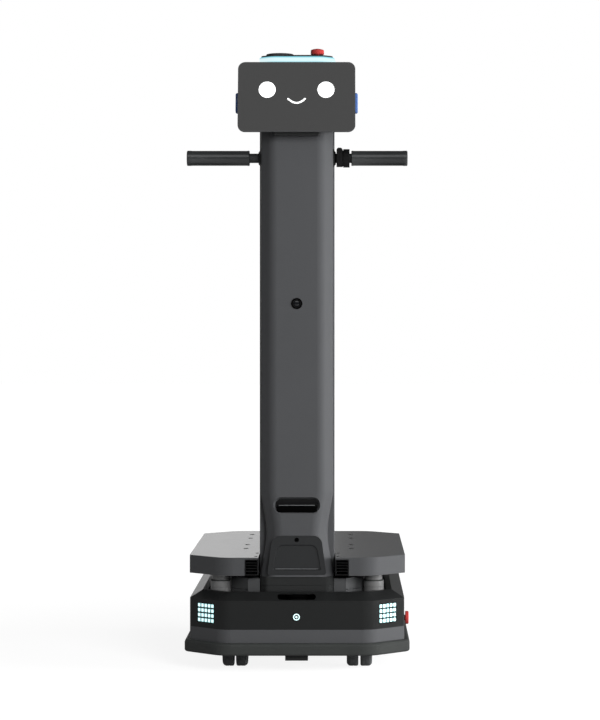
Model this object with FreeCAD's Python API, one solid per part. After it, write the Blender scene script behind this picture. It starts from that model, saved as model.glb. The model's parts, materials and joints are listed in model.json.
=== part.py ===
import FreeCAD, Part
import math
import os

# Autonomous mobile robot for delivery work: a low base on two driven wheels and four
# twin-wheel casters, a flat deck that four lifting columns raise, and an upright column
# at the front with a pair of push handles, a tilted display head, a light ring and a
# stop button on top.
#
# Millimetres. +Z is up and the robot drives towards -Y. The origin is on the floor under
# the middle of the base, and X = 0 is the plane of symmetry.

# ---- Driving dimensions ----

# Base body, an octagon in plan
body_half_width = 238.0
body_half_length = 405.5
body_corner = 75.0
edge_round = 45.0
side_round = 14.0
skirt_bottom = 40.0
skirt_top = 94.0
band_top = 157.0
base_top = 174.0
shoulder_inset = 28.0
shell_wall = 3.0
lip_width = 12.0
lip_thickness = 3.0
skirt_flange = 14.0

# Bumper round the foot of the base
bumper_bottom = 38.0
bumper_top = 65.0
bumper_reach = 12.0
bumper_top_round = 7.0
bumper_bottom_round = 5.0

# Sheet metal inside the base
chassis_thickness = 5.0
belly_thickness = 3.0
top_plate_thickness = 3.0

# Lidar and its slot in the front shoulder
lidar_slot_width = 84.0
lidar_slot_bottom = 159.0
lidar_slot_top = 171.0
lidar_radius = 26.0
lidar_from_front = 49.5
lidar_top = 167.0
lidar_window_height = 20.0

# Corner light panels
cell_size = 7.6
cell_pitch = 10.8
cell_columns = 5
cell_rows = 4
cell_depth = 2.6
cell_proud = 0.5
light_middle_z = 127.0
light_board_thickness = 4.0
light_board_margin = 4.0

# Status light in the front face
status_radius = 9.0
status_z = 122.0
status_depth = 8.0
status_rim = 3.0

# Stop button on the right side of the base
side_stop_radius = 14.8
side_stop_reach = 8.0
side_stop_gap = 3.0
side_stop_stem_radius = 7.0
side_stop_stem = 26.0
side_stop_from_front = 120.5
side_stop_z = 107.5
side_stop_travel = 3.0

# Rear power panel
power_button_radius = 9.0
power_button_reach = 3.0
power_button_depth = 16.0
power_x = -60.0
power_z = 126.0
socket_width = 46.0
socket_height = 28.0
socket_x = 40.0
socket_depth = 20.0
socket_wall = 4.0
rear_panel_width = 180.0
rear_panel_height = 46.0
rear_panel_thickness = 2.0

# Battery, computer and drive electronics
battery_width = 150.0
battery_length = 240.0
battery_height = 58.0
battery_from_back = 240.5
computer_width = 150.0
computer_length = 110.0
computer_height = 48.0
computer_from_front = 260.5
fin_count = 9
fin_thickness = 2.5
fin_height = 8.0
driver_width = 60.0
driver_length = 130.0
driver_height = 40.0
driver_from_side = 78.0
driver_from_back = 220.5

# Charging contacts under the nose
contact_block_width = 50.0
contact_block_length = 26.0
contact_block_bottom = 25.5
contact_block_from_front = 19.5
contact_radius = 5.0
contact_pitch = 24.0
contact_proud = 1.0

# Twin-wheel casters
caster_from_side = 99.5
caster_from_end = 93.5
caster_plate_size = 72.0
caster_plate_thickness = 5.0
caster_bolt_pitch = 52.0
caster_bolt_radius = 3.0
caster_trail = 24.0
caster_wheel_radius = 36.0
caster_wheel_width = 26.0
caster_wheel_gap = 4.6
caster_web = 3.4
caster_axle_radius = 5.0
caster_bearing_radius = 21.0
caster_bearing_height = 8.0
caster_hood_gap = 2.0
tread_round = 6.0
hub_recess = 4.0
hub_radius = 19.0

# Drive wheels on sprung rocker arms
drive_wheel_radius = 70.0
drive_wheel_width = 38.0
drive_wheel_from_side = 43.0
drive_tyre_thickness = 9.0
drive_hub_hole_radius = 9.0
drive_hub_hole_count = 6
drive_hub_hole_circle = 38.0
drive_hub_bore_side = 8.0
motor_radius = 34.0
motor_length = 52.0
gearbox_radius = 27.0
gearbox_length = 10.0
axle_radius = 8.0
arm_thickness = 8.0
arm_end_radius = 36.0
arm_pivot_radius = 16.0
arm_pivot_y = 112.0
arm_pivot_z = 68.0
arm_boss_length = 6.0
pivot_pin_radius = 7.0
pivot_lug_thickness = 8.0
well_gap = 9.0

# Lifting deck
deck_bottom = 209.0
deck_top = 249.0
deck_overhang = 2.5
deck_end_inset = 32.5
deck_corner = 76.0
deck_edge_round = 60.0
deck_plate = 4.0
deck_wall = 3.0
deck_notch_gap = 2.0
deck_rib_thickness = 4.0
deck_rib_height = 24.0
deck_rib_x = 134.0
deck_cross_rib_shares = (-0.576, -0.225, 0.134, 0.555, 0.858)
rack_hole_x = 121.0
rack_hole_radius = 3.3
rack_row_shares = (-0.3619, -0.0858, 0.4048, 0.7078)
insert_radius = 5.5
insert_length = 14.0
vent_outer_x = 115.0
vent_depth = 22.0
vent_frame = 2.0
vent_slat_count = 5
vent_slat_thickness = 1.2
vent_slat_rake = 3.0
vent_screws_from_deck_front = (32.0, 116.0)
vent_screw_x = 91.0
vent_screw_radius = 2.0
deck_travel = 60.0

# Lifting columns
post_from_deck_side = 70.5
post_from_deck_end = 55.0
sleeve_radius = 22.5
sleeve_top = 194.0
sleeve_foot_radius = 29.0
sleeve_foot_height = 6.0
ram_radius = 19.0
ram_bottom = 106.0
ram_flange_radius = 30.0
ram_flange_thickness = 5.0
wiper_height = 2.6
wiper_radius = 22.0

# Housing of the lift drive, on the base under the deck
housing_half_width = 108.0
housing_height = 30.0
housing_front_inset = 55.5
housing_back_inset = 60.5
housing_wall = 3.0
cheek_half_width = 156.0
cheek_gap = 0.2
cheek_core_inset = 6.0
cheek_post_gap = 2.0
cheek_height = 31.0
cheek_skirt_height = 5.0
cheek_seam = 1.2

# Column
column_half_width = 80.0
rear_half_width = 83.0
rear_edge_round = 2.4
column_facet = 25.0
column_from_nose = 37.5
column_split_depth = 46.0
column_depth = 105.0
column_top = 1339.0
column_wall = 3.0
front_round = 26.0
flank_round = 12.0
back_round = 20.0
waist_half_width = 68.0
waist_z = 306.0
foot_half_width = 81.0
waist_top = 392.0
waist_low_share = 0.36
waist_high_share = 0.42
rear_lip = 24.0
spine_width = 60.0
spine_depth = 40.0
spine_wall = 3.0
spine_from_front = 73.0
spine_below_top = 7.0
pedestal_width = 120.0
pedestal_depth = 60.0
pedestal_wall = 5.0

# Plinth under the column
plinth_half_width = 81.0
plinth_top = 206.0
plinth_step = 4.0
plinth_corner = 14.0
plinth_front_round = 10.0
plinth_side_round = 6.0
plinth_back_reach = 2.0
plinth_core_gap = 8.0
plinth_wall = 4.0
plinth_groove_z = 186.0
plinth_groove = 1.5
plinth_groove_depth = 1.2

# Foot panel and hatch
foot_panel_top = 297.0
foot_panel_half_top = 54.0
foot_panel_half_bottom = 65.5
foot_panel_bottom = 210.0
foot_panel_round = 20.0
foot_panel_low_round = 6.0
foot_panel_thickness = 5.0
foot_panel_sink = 1.0
hatch_top = 275.0
hatch_bottom = 222.0
hatch_half_top = 42.0
hatch_half_bottom = 52.0
hatch_round = 16.0
hatch_low_round = 3.0
hatch_ledge = 6.0
hatch_ledge_sink = 0.8
hatch_thickness = 1.6
hatch_sink = 2.0
hatch_flare = 1.5
foot_sensor_radius = 4.3
foot_sensor_z = 288.0
foot_sensor_depth = 12.0
foot_sensor_sink = 3.0

# Slot camera and round camera in the column
slot_camera_half_width = 53.0
slot_camera_bottom = 346.0
slot_camera_top = 382.0
slot_cup_depth = 9.0
slot_cup_narrowing = 5.0
slot_cup_wall = 2.5
slot_camera_depth = 18.0
slot_camera_margin = 3.0
slot_brow_depth = 3.0
slot_lip_z = 365.0
slot_lip_height = 1.2
slot_lip_reach = 1.5
slot_mouth_half_width = 44.0
slot_mouth_bottom = 352.0
slot_mouth_round = 5.0
slot_mouth_depth = 10.0
slot_lens_radius = 4.5
slot_lens_x = 25.0
round_camera_below_top = 530.0
round_camera_radius = 11.0
round_camera_depth = 16.0
round_camera_lens_radius = 7.5
round_camera_lens_sink = 2.0
round_camera_rim = 1.0

# Push handles
handle_below_top = 206.0
handle_from_front = 56.0
handle_radius = 10.5
handle_wall = 2.5
handle_flange_radius = 22.0
handle_flange_thickness = 6.0
handle_flange_face = 6.0
handle_flange_lip = 3.0
handle_end = 240.5
grip_radius = 17.0
left_grip_start = 106.0
right_grip_start = 120.5
grip_dome = 2.5
grip_end_wall = 5.0
clamp_start = 87.5
clamp_end = 116.5
clamp_ear_start = 101.5
clamp_radius = 19.5
clamp_band_radius = 20.5
clamp_groove = 1.0
clamp_groove_depth = 2.0
clamp_ear_reach = 28.0
clamp_ear_half_height = 9.0
clamp_slit = 2.0
lever_x = 94.2
lever_half_width = 6.5
lever_thickness = 5.5
lever_pivot_rise = 9.0
lever_pivot_radius = 4.5
lever_pivot_depth = 5.0
lever_top = 22.0
lever_low = 15.0

# Head
head_half_width = 129.0
head_height = 160.0
head_round = 16.0
head_tilt = 13.0
head_rise = 1.5
head_crown_gap = 1.2
bezel_depth = 5.0
glass_border = 1.6
glass_thickness = 3.0
head_depth = 50.0
head_taper = 15.0
head_wall = 3.0
module_inset = 8.0
module_thickness = 7.0
ear_height = 44.0
ear_depth = 20.0
ear_middle = 72.0
ear_from_front = 23.0
ear_reach = 5.5
ear_root = 110.0
ear_chamfer = 4.0
neck_half_width = 52.0
neck_height = 13.0
neck_reach = 30.0
neck_cover = 8.0
neck_skirt = 6.0
neck_drop = 9.0

# Crown of the column: light ring, cap, dome and stop button
crown_reach = 3.0
ring_height = 15.0
cap_height = 3.5
cap_inset = 6.0
cap_hollow_left = 50.0
cap_hollow_right = 20.0
cap_hollow_front = 23.0
cap_hollow_back = 83.0
cap_hollow_height = 8.0
dome_radius = 31.5
dome_height = 5.0
dome_x = -38.0
dome_from_front = 50.0
stop_x = 45.0
stop_from_front = 38.0
stop_radius = 15.0
stop_cap_height = 13.0
stop_collar_radius = 12.0
stop_collar_height = 1.0
stop_stem_radius = 6.0
stop_stem_depth = 24.0
stop_travel = 3.0

# Clearances
fit = 0.3
running = 0.1

# ---- Values worked out from these ----
lidar_y = lidar_from_front - body_half_length
side_stop_y = side_stop_from_front - body_half_length
contact_block_y = contact_block_from_front - body_half_length
computer_y = computer_from_front - body_half_length
battery_y = body_half_length - battery_from_back
driver_y = body_half_length - driver_from_back
driver_x = body_half_width - driver_from_side
caster_x = body_half_width - caster_from_side
caster_y = body_half_length - caster_from_end
drive_wheel_x = body_half_width - drive_wheel_from_side
deck_half_width = body_half_width + deck_overhang
deck_half_length = body_half_length - deck_end_inset
post_x = deck_half_width - post_from_deck_side
post_y = deck_half_length - post_from_deck_end
housing_front = housing_front_inset - body_half_length
housing_back = body_half_length - housing_back_inset
column_front = column_from_nose - body_half_length
column_split = column_front + column_split_depth
column_back = column_front + column_depth
spine_y = column_front + spine_from_front
spine_top = column_top - spine_below_top
plinth_front = column_front + plinth_step
round_camera_z = column_top - round_camera_below_top
handle_y = column_front + handle_from_front
handle_z = column_top - handle_below_top
head_lean = math.radians(head_tilt)
head_reach = head_height * math.sin(head_lean) + bezel_depth * math.cos(head_lean)
head_front = column_front - crown_reach - head_crown_gap - head_reach
head_bottom = column_top + head_rise - head_height * math.cos(head_lean)
neck_front = column_front - neck_reach
dome_y = column_front + dome_from_front
stop_y = column_front + stop_from_front
deck_skin = deck_top - deck_plate
top_plate_top = base_top - lip_thickness
top_plate_bottom = top_plate_top - top_plate_thickness
chassis_top = skirt_top + chassis_thickness
caster_hood_top = skirt_top - caster_plate_thickness - caster_bearing_height
caster_half_pair = caster_wheel_gap / 2 + caster_wheel_width
drive_inner_x = drive_wheel_x - drive_wheel_width / 2
arm_outer_x = drive_inner_x - well_gap
arm_inner_x = arm_outer_x - arm_thickness
notch_half_width = rear_half_width + deck_notch_gap
notch_back = column_back + deck_notch_gap
grip_outer_x = handle_end + grip_end_wall
crown_top = column_top + ring_height + cap_height


# ---- Tools for outlines and solids ----
def vec(x, y, z):
    return FreeCAD.Vector(x, y, z)


# A closed outline at height z: straight runs joined by tangent arcs, one radius per corner.
def outline(corners, radii, z=0.0):
    joins = []
    for i, (x, y) in enumerate(corners):
        corner = vec(x, y, z)
        before = vec(*corners[i - 1], z).sub(corner).normalize()
        after = vec(*corners[(i + 1) % len(corners)], z).sub(corner).normalize()
        half_angle = before.getAngle(after) / 2
        reach = radii[i] / math.tan(half_angle)
        inward = before.add(after).normalize()
        middle = corner + inward * (radii[i] / math.sin(half_angle) - radii[i])
        joins.append((corner + before * reach, middle, corner + after * reach))
    edges = []
    for i, (start, middle, end) in enumerate(joins):
        if radii[i] > 0:
            edges.append(Part.Arc(start, middle, end).toShape())
        following = joins[(i + 1) % len(joins)][0]
        if end.distanceToPoint(following) > 1e-6:
            edges.append(Part.LineSegment(end, following).toShape())
    return Part.Wire(edges)


# An upright solid on such an outline.
def slab(corners, radii, low, high):
    return Part.Face(outline(corners, radii, low)).extrude(vec(0, 0, high - low))


# A solid whose outline is drawn in X and Z and that runs from y_front back to y_back.
def slab_facing_front(corners, radii, y_front, y_back):
    lying = slab(corners, radii, -y_back, -y_front)
    return lying.rotate(vec(0, 0, 0), vec(1, 0, 0), 90)


# A solid whose outline is drawn in Y and Z and that runs from x_low to x_high.
def slab_facing_side(corners, radii, x_low, x_high):
    lying = slab(corners, radii, x_low, x_high)
    return lying.rotate(vec(0, 0, 0), vec(1, 1, 1), 120)


# A solid that narrows from a front outline to a back one, both drawn in X and Z.
def flare_facing_front(front_outline, back_outline, y_front, y_back):
    wires = [outline(*back_outline, -y_back), outline(*front_outline, -y_front)]
    return Part.makeLoft(wires, True, True).rotate(vec(0, 0, 0), vec(1, 0, 0), 90)


def rectangle(half_width, low, high):
    return [(-half_width, low), (half_width, low), (half_width, high), (-half_width, high)]


def block(x_low, x_high, y_low, y_high, z_low, z_high):
    corner = vec(x_low, y_low, z_low)
    return Part.makeBox(x_high - x_low, y_high - y_low, z_high - z_low, corner)


def rod_z(radius, x, y, low, high):
    return Part.makeCylinder(radius, high - low, vec(x, y, low), vec(0, 0, 1))


def rod_x(radius, low, high, y, z):
    return Part.makeCylinder(radius, high - low, vec(low, y, z), vec(1, 0, 0))


def rod_y(radius, x, low, high, z):
    return Part.makeCylinder(radius, high - low, vec(x, low, z), vec(0, 1, 0))


# A turned solid: the profile is a list of (radius, height) round the upright axis.
def turned(profile):
    points = [vec(radius, 0, height) for radius, height in profile]
    wire = Part.makePolygon(points + points[:1])
    return Part.Face(wire).revolve(vec(0, 0, 0), vec(0, 0, 1), 360)


# The same, with its axis laid along +X and its height counted from x_low.
def turned_along_x(profile, x_low, y, z):
    body = turned(profile).rotate(vec(0, 0, 0), vec(0, 1, 0), 90)
    return body.translate(vec(x_low, y, z))


def mirrored_x(shape):
    return shape.mirror(vec(0, 0, 0), vec(1, 0, 0))


def fused(shapes):
    return shapes[0].multiFuse(shapes[1:]).removeSplitter()


# ---- Plan of the base: an octagon, drawn in by inset on every side ----
def octagon(half_width, half_length, corner):
    w, l, c = half_width, half_length, corner
    return [(-w + c, -l), (w - c, -l), (w, -l + c), (w, l - c),
            (w - c, l), (-w + c, l), (-w, l - c), (-w, -l + c)]


def octagon_radii(front, side):
    return [front, front, side, side, front, front, side, side]


def base_plan(inset):
    leg = body_corner - inset * (2 - math.sqrt(2))
    corners = octagon(body_half_width - inset, body_half_length - inset, leg)
    shrink = min(inset, side_round - 1.0)
    return corners, octagon_radii(edge_round - inset, side_round - shrink)


def base_slab(inset, low, high):
    corners, radii = base_plan(inset)
    return slab(corners, radii, low, high)


def base_loft(inset_low, low, inset_high, high):
    wires = [outline(*base_plan(inset_low), low), outline(*base_plan(inset_high), high)]
    return Part.makeLoft(wires, True, True)


# ---- Base ----
def make_bumper():
    outer = base_slab(-bumper_reach, bumper_bottom, bumper_top)
    top_rim = [e for e in outer.Edges if all(v.Z > bumper_top - 0.1 for v in e.Vertexes)]
    outer = outer.makeFillet(bumper_top_round, top_rim)
    low_rim = [e for e in outer.Edges if all(v.Z < bumper_bottom + 0.1 for v in e.Vertexes)]
    outer = outer.makeFillet(bumper_bottom_round, low_rim)
    return outer.cut(base_slab(0.0, bumper_bottom - 1, bumper_top + 1))


def make_lower_skirt():
    ring = base_slab(0.0, skirt_bottom, skirt_top)
    ring = ring.cut(base_slab(shell_wall, skirt_bottom - 1, skirt_top - shell_wall))
    return ring.cut(base_slab(shell_wall + skirt_flange, skirt_bottom, skirt_top + 1))


def wheel_wells(low, high):
    wells = []
    reach = drive_wheel_radius + well_gap
    for side in (-1, 1):
        outer = side * (drive_wheel_x + drive_wheel_width / 2 + well_gap / 2)
        inner = side * (arm_inner_x - motor_length - well_gap)
        low_x, high_x = min(outer, inner), max(outer, inner)
        wells.append(block(low_x, high_x, -reach, arm_pivot_y - arm_pivot_radius / 2, low, high))
    return wells


def caster_places():
    return [(sx * caster_x, sy * caster_y) for sx in (-1, 1) for sy in (-1, 1)]


def caster_sweep():
    return math.hypot(caster_trail + caster_wheel_radius, caster_half_pair)


def make_belly_pan():
    pan = base_slab(shell_wall, skirt_bottom, skirt_bottom + belly_thickness)
    openings = wheel_wells(skirt_bottom - 1, skirt_bottom + belly_thickness + 1)
    for x, y in caster_places():
        openings.append(rod_z(caster_sweep() + 3.0, x, y, skirt_bottom - 1, skirt_top))
    return pan.cut(openings)


def caster_bolt_places(x, y):
    half = caster_bolt_pitch / 2
    return [(x + sx * half, y + sy * half) for sx in (-1, 1) for sy in (-1, 1)]


def make_chassis_plate():
    plate = base_slab(shell_wall, skirt_top, chassis_top)
    cuts = []
    for well in wheel_wells(skirt_top - 1, chassis_top + 1):
        cuts.append(well)
    for x, y in caster_places():
        for bolt_x, bolt_y in caster_bolt_places(x, y):
            cuts.append(rod_z(caster_bolt_radius + fit, bolt_x, bolt_y, skirt_top - 1, chassis_top + 1))
    plate = plate.cut(cuts)
    return fused([plate] + [pivot_bracket(side) for side in (-1, 1)])


def front_light_frame(side_x, side_y):
    # middle of a cut-off corner's face, and the turn that brings a front-facing panel there
    leg = body_corner / 2
    middle = vec(side_x * (body_half_width - leg), side_y * (body_half_length - leg), light_middle_z)
    turn = {(-1, -1): -45, (1, -1): 45, (1, 1): 135, (-1, 1): -135}[(side_x, side_y)]
    return middle, turn


def cell_places():
    half_row = (cell_columns - 1) / 2
    half_column = (cell_rows - 1) / 2
    places = []
    for column in range(cell_columns):
        for row in range(cell_rows):
            places.append(((column - half_row) * cell_pitch, (row - half_column) * cell_pitch))
    return places


# Blocks for the light cells of one corner, widened by gap, in the panel's own frame: the
# face of the shell is at Y = 0 and the inside of the base is +Y.
def cell_blocks(gap, y_front, y_back):
    half = cell_size / 2 + gap
    return [block(x - half, x + half, y_front, y_back, z - half, z + half) for x, z in cell_places()]


def put_on_corner(shape, side_x, side_y):
    middle, turn = front_light_frame(side_x, side_y)
    placed = shape.copy()
    placed.rotate(vec(0, 0, 0), vec(0, 0, 1), turn)
    placed.translate(middle)
    return placed


def base_corners():
    return [(side_x, side_y) for side_x in (-1, 1) for side_y in (-1, 1)]


def light_windows(gap):
    half_x = cell_columns * cell_pitch / 2 + gap
    half_z = cell_rows * cell_pitch / 2 + gap
    window = block(-half_x, half_x, -5.0, shell_wall + 1.0, -half_z, half_z)
    return [put_on_corner(window, sx, sy) for sx, sy in base_corners()]


def lidar_slot():
    middle = (lidar_slot_bottom + lidar_slot_top) / 2
    half_height = (lidar_slot_top - lidar_slot_bottom) / 2
    half = lidar_slot_width / 2
    corners = rectangle(half, middle - half_height, middle + half_height)
    return slab_facing_front(corners, [half_height - 0.01] * 4, -body_half_length - 1, lidar_y)


def make_upper_shell():
    outer = fused([base_slab(0.0, skirt_top, band_top),
                   base_loft(0.0, band_top, shoulder_inset, base_top)])
    wall = shell_wall
    hollow = fused([base_slab(wall, skirt_top - 1, band_top),
                    base_loft(wall, band_top, shoulder_inset + 1.0, top_plate_top)])
    opening = base_slab(shoulder_inset + lip_width, band_top, base_top + 1)
    cuts = [hollow, opening, lidar_slot()] + light_windows(fit)
    cuts.append(rod_y(status_radius + fit, 0, -body_half_length - 1, -body_half_length + 2 * wall, status_z))
    for x, half_width, half_height in rear_cut_outs():
        cuts.append(block(x - half_width - fit, x + half_width + fit, body_half_length - 2 * wall,
                          body_half_length + 1, power_z - half_height - fit, power_z + half_height + fit))
    cuts.append(side_stop_bore())
    cuts += [rod_z(sleeve_radius + fit, x, y, band_top, base_top + 1) for x, y in post_places()]
    shell = outer.cut(cuts)
    return shell.fuse(side_stop_socket()).removeSplitter()


def side_stop_bore():
    inner = body_half_width - shell_wall
    depth = side_stop_stem - side_stop_gap + side_stop_travel + 1.0
    return rod_x(side_stop_stem_radius + fit, inner - depth, body_half_width + 1, side_stop_y, side_stop_z)


# Cup behind the side stop button, cut level with the chassis plate underneath.
def side_stop_socket():
    inner = body_half_width - shell_wall
    depth = side_stop_stem - side_stop_gap + side_stop_travel + 3.0
    outer = rod_x(side_stop_stem_radius + 5.0, inner - depth, inner, side_stop_y, side_stop_z + 4.0)
    below = block(inner - depth - 1, inner + 1, side_stop_y - 30, side_stop_y + 30, 0, chassis_top)
    return outer.cut([side_stop_bore(), below])


# Openings of the shell behind the rear panel: middle X, half width and half height.
def rear_cut_outs():
    return [(power_x, power_button_radius + 2.0, power_button_radius + 2.0),
            (socket_x, socket_width / 2, socket_height / 2)]


def make_top_plate():
    plate = base_slab(shoulder_inset + 4.0, top_plate_bottom, top_plate_top)
    holes = [rod_z(sleeve_radius + fit, x, y, top_plate_bottom - 1, top_plate_top + 1)
             for x, y in post_places()]
    width = pedestal_width / 2 - pedestal_wall
    depth = pedestal_depth / 2 - pedestal_wall
    holes.append(block(-width, width, spine_y - depth, spine_y + depth,
                       top_plate_bottom - 1, top_plate_top + 1))
    return plate.cut(holes)


def make_light_panels():
    half_x = cell_columns * cell_pitch / 2
    half_z = cell_rows * cell_pitch / 2
    face = block(-half_x, half_x, 0.4, shell_wall, -half_z, half_z)
    margin = light_board_margin
    board = block(-half_x - margin, half_x + margin, shell_wall, shell_wall + light_board_thickness,
                  -half_z - margin, half_z + margin)
    panel = face.fuse(board).cut(cell_blocks(fit / 3, 0.0, cell_depth))
    return Part.makeCompound([put_on_corner(panel, sx, sy) for sx, sy in base_corners()])


def make_light_cells():
    cells = cell_blocks(0.0, -cell_proud, cell_depth)
    return Part.makeCompound([put_on_corner(c, sx, sy) for sx, sy in base_corners() for c in cells])


def make_status_light():
    front = -body_half_length - 0.6
    lens = rod_y(status_radius, 0, front, front + status_depth, status_z)
    rim = rod_y(status_radius + status_rim, 0, -body_half_length + shell_wall,
                front + status_depth, status_z)
    return lens.fuse(rim).removeSplitter()


def make_lidar():
    body_top = lidar_top - lidar_window_height
    body = rod_z(lidar_radius, 0, lidar_y, chassis_top, body_top)
    window = rod_z(lidar_radius - 3.0, 0, lidar_y, body_top, lidar_top - 4.0)
    cap = rod_z(lidar_radius, 0, lidar_y, lidar_top - 4.0, lidar_top)
    foot = block(-lidar_radius - 8, lidar_radius + 8, lidar_y - 20, lidar_y + 20,
                 chassis_top, chassis_top + 4)
    return fused([body, window, cap, foot])


def make_battery():
    half = battery_width / 2
    low, high = battery_y - battery_length / 2, battery_y + battery_length / 2
    case = slab(rectangle(half, low, high), [8.0] * 4, chassis_top, chassis_top + battery_height)
    rim = [e for e in case.Edges if all(v.Z > chassis_top + battery_height - 0.1 for v in e.Vertexes)]
    case = case.makeFillet(3.0, rim)
    grip = block(-30, 30, low - 1, low + 12, chassis_top + 30, chassis_top + 44)
    return case.cut(grip)


# Computer with its cooling fins, and a motor driver on each side of the battery.
def make_computer():
    half = computer_width / 2
    low, high = computer_y - computer_length / 2, computer_y + computer_length / 2
    top = chassis_top + computer_height
    case = slab(rectangle(half, low, high), [4.0] * 4, chassis_top, top)
    fins = []
    step = (computer_width - fin_thickness) / (fin_count - 1)
    for i in range(fin_count):
        x = -half + i * step
        fins.append(block(x, x + fin_thickness, low + 6, high - 6, top, top + fin_height))
    return Part.makeCompound([fused([case] + fins)] + motor_drivers())


def motor_drivers():
    boxes = []
    for side in (-1, 1):
        x = side * driver_x
        low, high = driver_y - driver_length / 2, driver_y + driver_length / 2
        box = block(x - driver_width / 2, x + driver_width / 2, low, high,
                    chassis_top, chassis_top + driver_height)
        boxes.append(box)
    return boxes


def contact_places():
    return [-contact_pitch / 2, contact_pitch / 2]


def make_charge_contacts():
    half = contact_block_width / 2
    low, high = contact_block_y - contact_block_length / 2, contact_block_y + contact_block_length / 2
    body = slab(rectangle(half, low, high), [3.0] * 4, contact_block_bottom, skirt_bottom)
    pads = [rod_z(contact_radius, x, contact_block_y, contact_block_bottom - contact_proud,
                  contact_block_bottom) for x in contact_places()]
    return fused([body] + pads)


# Rear panel, moulded with the cup of the power button and the charging socket behind it.
def make_rear_panel():
    half = rear_panel_width / 2
    face = body_half_length + rear_panel_thickness
    low, high = power_z - rear_panel_height / 2, power_z + rear_panel_height / 2
    panel = slab_facing_front(rectangle(half, low, high), [8.0] * 4, body_half_length, face)
    half_w, half_h = socket_width / 2, socket_height / 2
    socket = block(socket_x - half_w, socket_x + half_w, body_half_length - socket_depth,
                   body_half_length, power_z - half_h, power_z + half_h)
    cup = rod_y(power_button_radius + 2.0, power_x, body_half_length - power_button_depth - 2,
                body_half_length, power_z)
    body = fused([panel, socket, cup])
    wall = socket_wall
    mouth_corners = [(socket_x + dx, power_z + dz)
                     for dx, dz in rectangle(half_w - wall, -half_h + wall, half_h - wall)]
    mouth = slab_facing_front(mouth_corners, [3.0] * 4, body_half_length - socket_depth + wall, face + 1)
    bore = rod_y(power_button_radius + fit, power_x, body_half_length - power_button_depth,
                 face + 1, power_z)
    pins = [rod_y(2.5, socket_x + x, body_half_length - socket_depth + wall - 1,
                  body_half_length - 3, power_z) for x in (-11, 0, 11)]
    return fused([body.cut([mouth, bore])] + pins)


def make_power_button():
    back = body_half_length + rear_panel_thickness + power_button_reach
    front = body_half_length - power_button_depth + 6.0
    button = rod_y(power_button_radius, power_x, front, back, power_z)
    rim = [e for e in button.Edges if e.Vertexes[0].Y > back - 0.1 and len(e.Vertexes) == 1]
    return button.makeFillet(1.2, rim)


# Mushroom head, neck and stem of a stop button, turned round the upright axis with the
# underside of the head at height 0.
def stop_button(head_radius, head_height, stem_radius, stem_depth):
    dome = Part.makeSphere(head_radius * 1.35, vec(0, 0, head_height - head_radius * 1.35))
    head = rod_z(head_radius, 0, 0, 0, head_height).common(dome)
    skirt = [e for e in head.Edges if all(v.Z < 0.1 for v in e.Vertexes)]
    head = head.makeFillet(1.0, skirt)
    return head.fuse(rod_z(stem_radius, 0, 0, -stem_depth, 0.5)).removeSplitter()


def make_side_stop():
    button = stop_button(side_stop_radius, side_stop_reach, side_stop_stem_radius, side_stop_stem)
    button.rotate(vec(0, 0, 0), vec(0, 1, 0), 90)
    return button.translate(vec(body_half_width + side_stop_gap, side_stop_y, side_stop_z))


# ---- Casters: each stands on its plate, with the wheels trailing behind the swivel ----
def make_caster_plate(x, y):
    half = caster_plate_size / 2
    low = skirt_top - caster_plate_thickness
    plate = slab([(x + dx, y + dy) for dx, dy in rectangle(half, -half, half)], [10.0] * 4,
                 low, skirt_top)
    holes = [rod_z(caster_bolt_radius + fit, bx, by, low - 1, skirt_top + 1)
             for bx, by in caster_bolt_places(x, y)]
    raceway = rod_z(caster_bearing_radius, x, y, low - 3.0, low)
    return plate.cut(holes).fuse(raceway).removeSplitter()


def make_caster_plates():
    return Part.makeCompound([make_caster_plate(x, y) for x, y in caster_places()])


# Hood over the pair of wheels, with the thin web that carries the axle between them.
def make_caster_frame(x, y):
    axle_y = y + caster_trail
    hood_low = caster_wheel_radius * 2 + caster_hood_gap
    hood_high = skirt_top - caster_plate_thickness - 3.0 - fit
    hub = rod_z(caster_bearing_radius - 2.0, x, y, hood_low, hood_high)
    neck = block(x - caster_web / 2, x + caster_web / 2, y - 14, axle_y + 14,
                 caster_wheel_radius, hood_low)
    eye = rod_x(14.0, x - caster_web / 2, x + caster_web / 2, axle_y, caster_wheel_radius)
    half = caster_half_pair - 3.0
    roof_profile = [(y - 22, hood_low), (axle_y + 18, hood_low), (axle_y + 14, hood_low + 3.5),
                    (y - 22, hood_low + 3.5)]
    roof = slab_facing_side(roof_profile, [0.0, 0.0, 1.0, 1.0], x - half, x + half)
    frame = fused([hub, neck, eye, roof])
    return frame.cut(rod_x(caster_axle_radius + fit, x - 5, x + 5, axle_y, caster_wheel_radius))


# One wheel as a turned profile: rounded tread, dished outer face and a plain inner face.
def caster_wheel_profile():
    w, r, t = caster_wheel_width, caster_wheel_radius, tread_round
    arc = [(r - t + t * math.cos(math.radians(a)), w - t + t * math.sin(math.radians(a)))
           for a in (0, 22.5, 45, 67.5, 90)]
    return [(0, 0), (r - 1.5, 0), (r, 1.5)] + arc + [(hub_radius + 3, w), (hub_radius, w - hub_recess),
                                                     (0, w - hub_recess)]


def make_caster_wheels(x, y):
    axle_y = y + caster_trail
    z = caster_wheel_radius
    right = turned_along_x(caster_wheel_profile(), x + caster_wheel_gap / 2, axle_y, z)
    left = right.mirror(vec(x, 0, 0), vec(1, 0, 0))
    axle = rod_x(caster_axle_radius, x - caster_wheel_gap / 2, x + caster_wheel_gap / 2, axle_y, z)
    return fused([left, axle, right])


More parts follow.
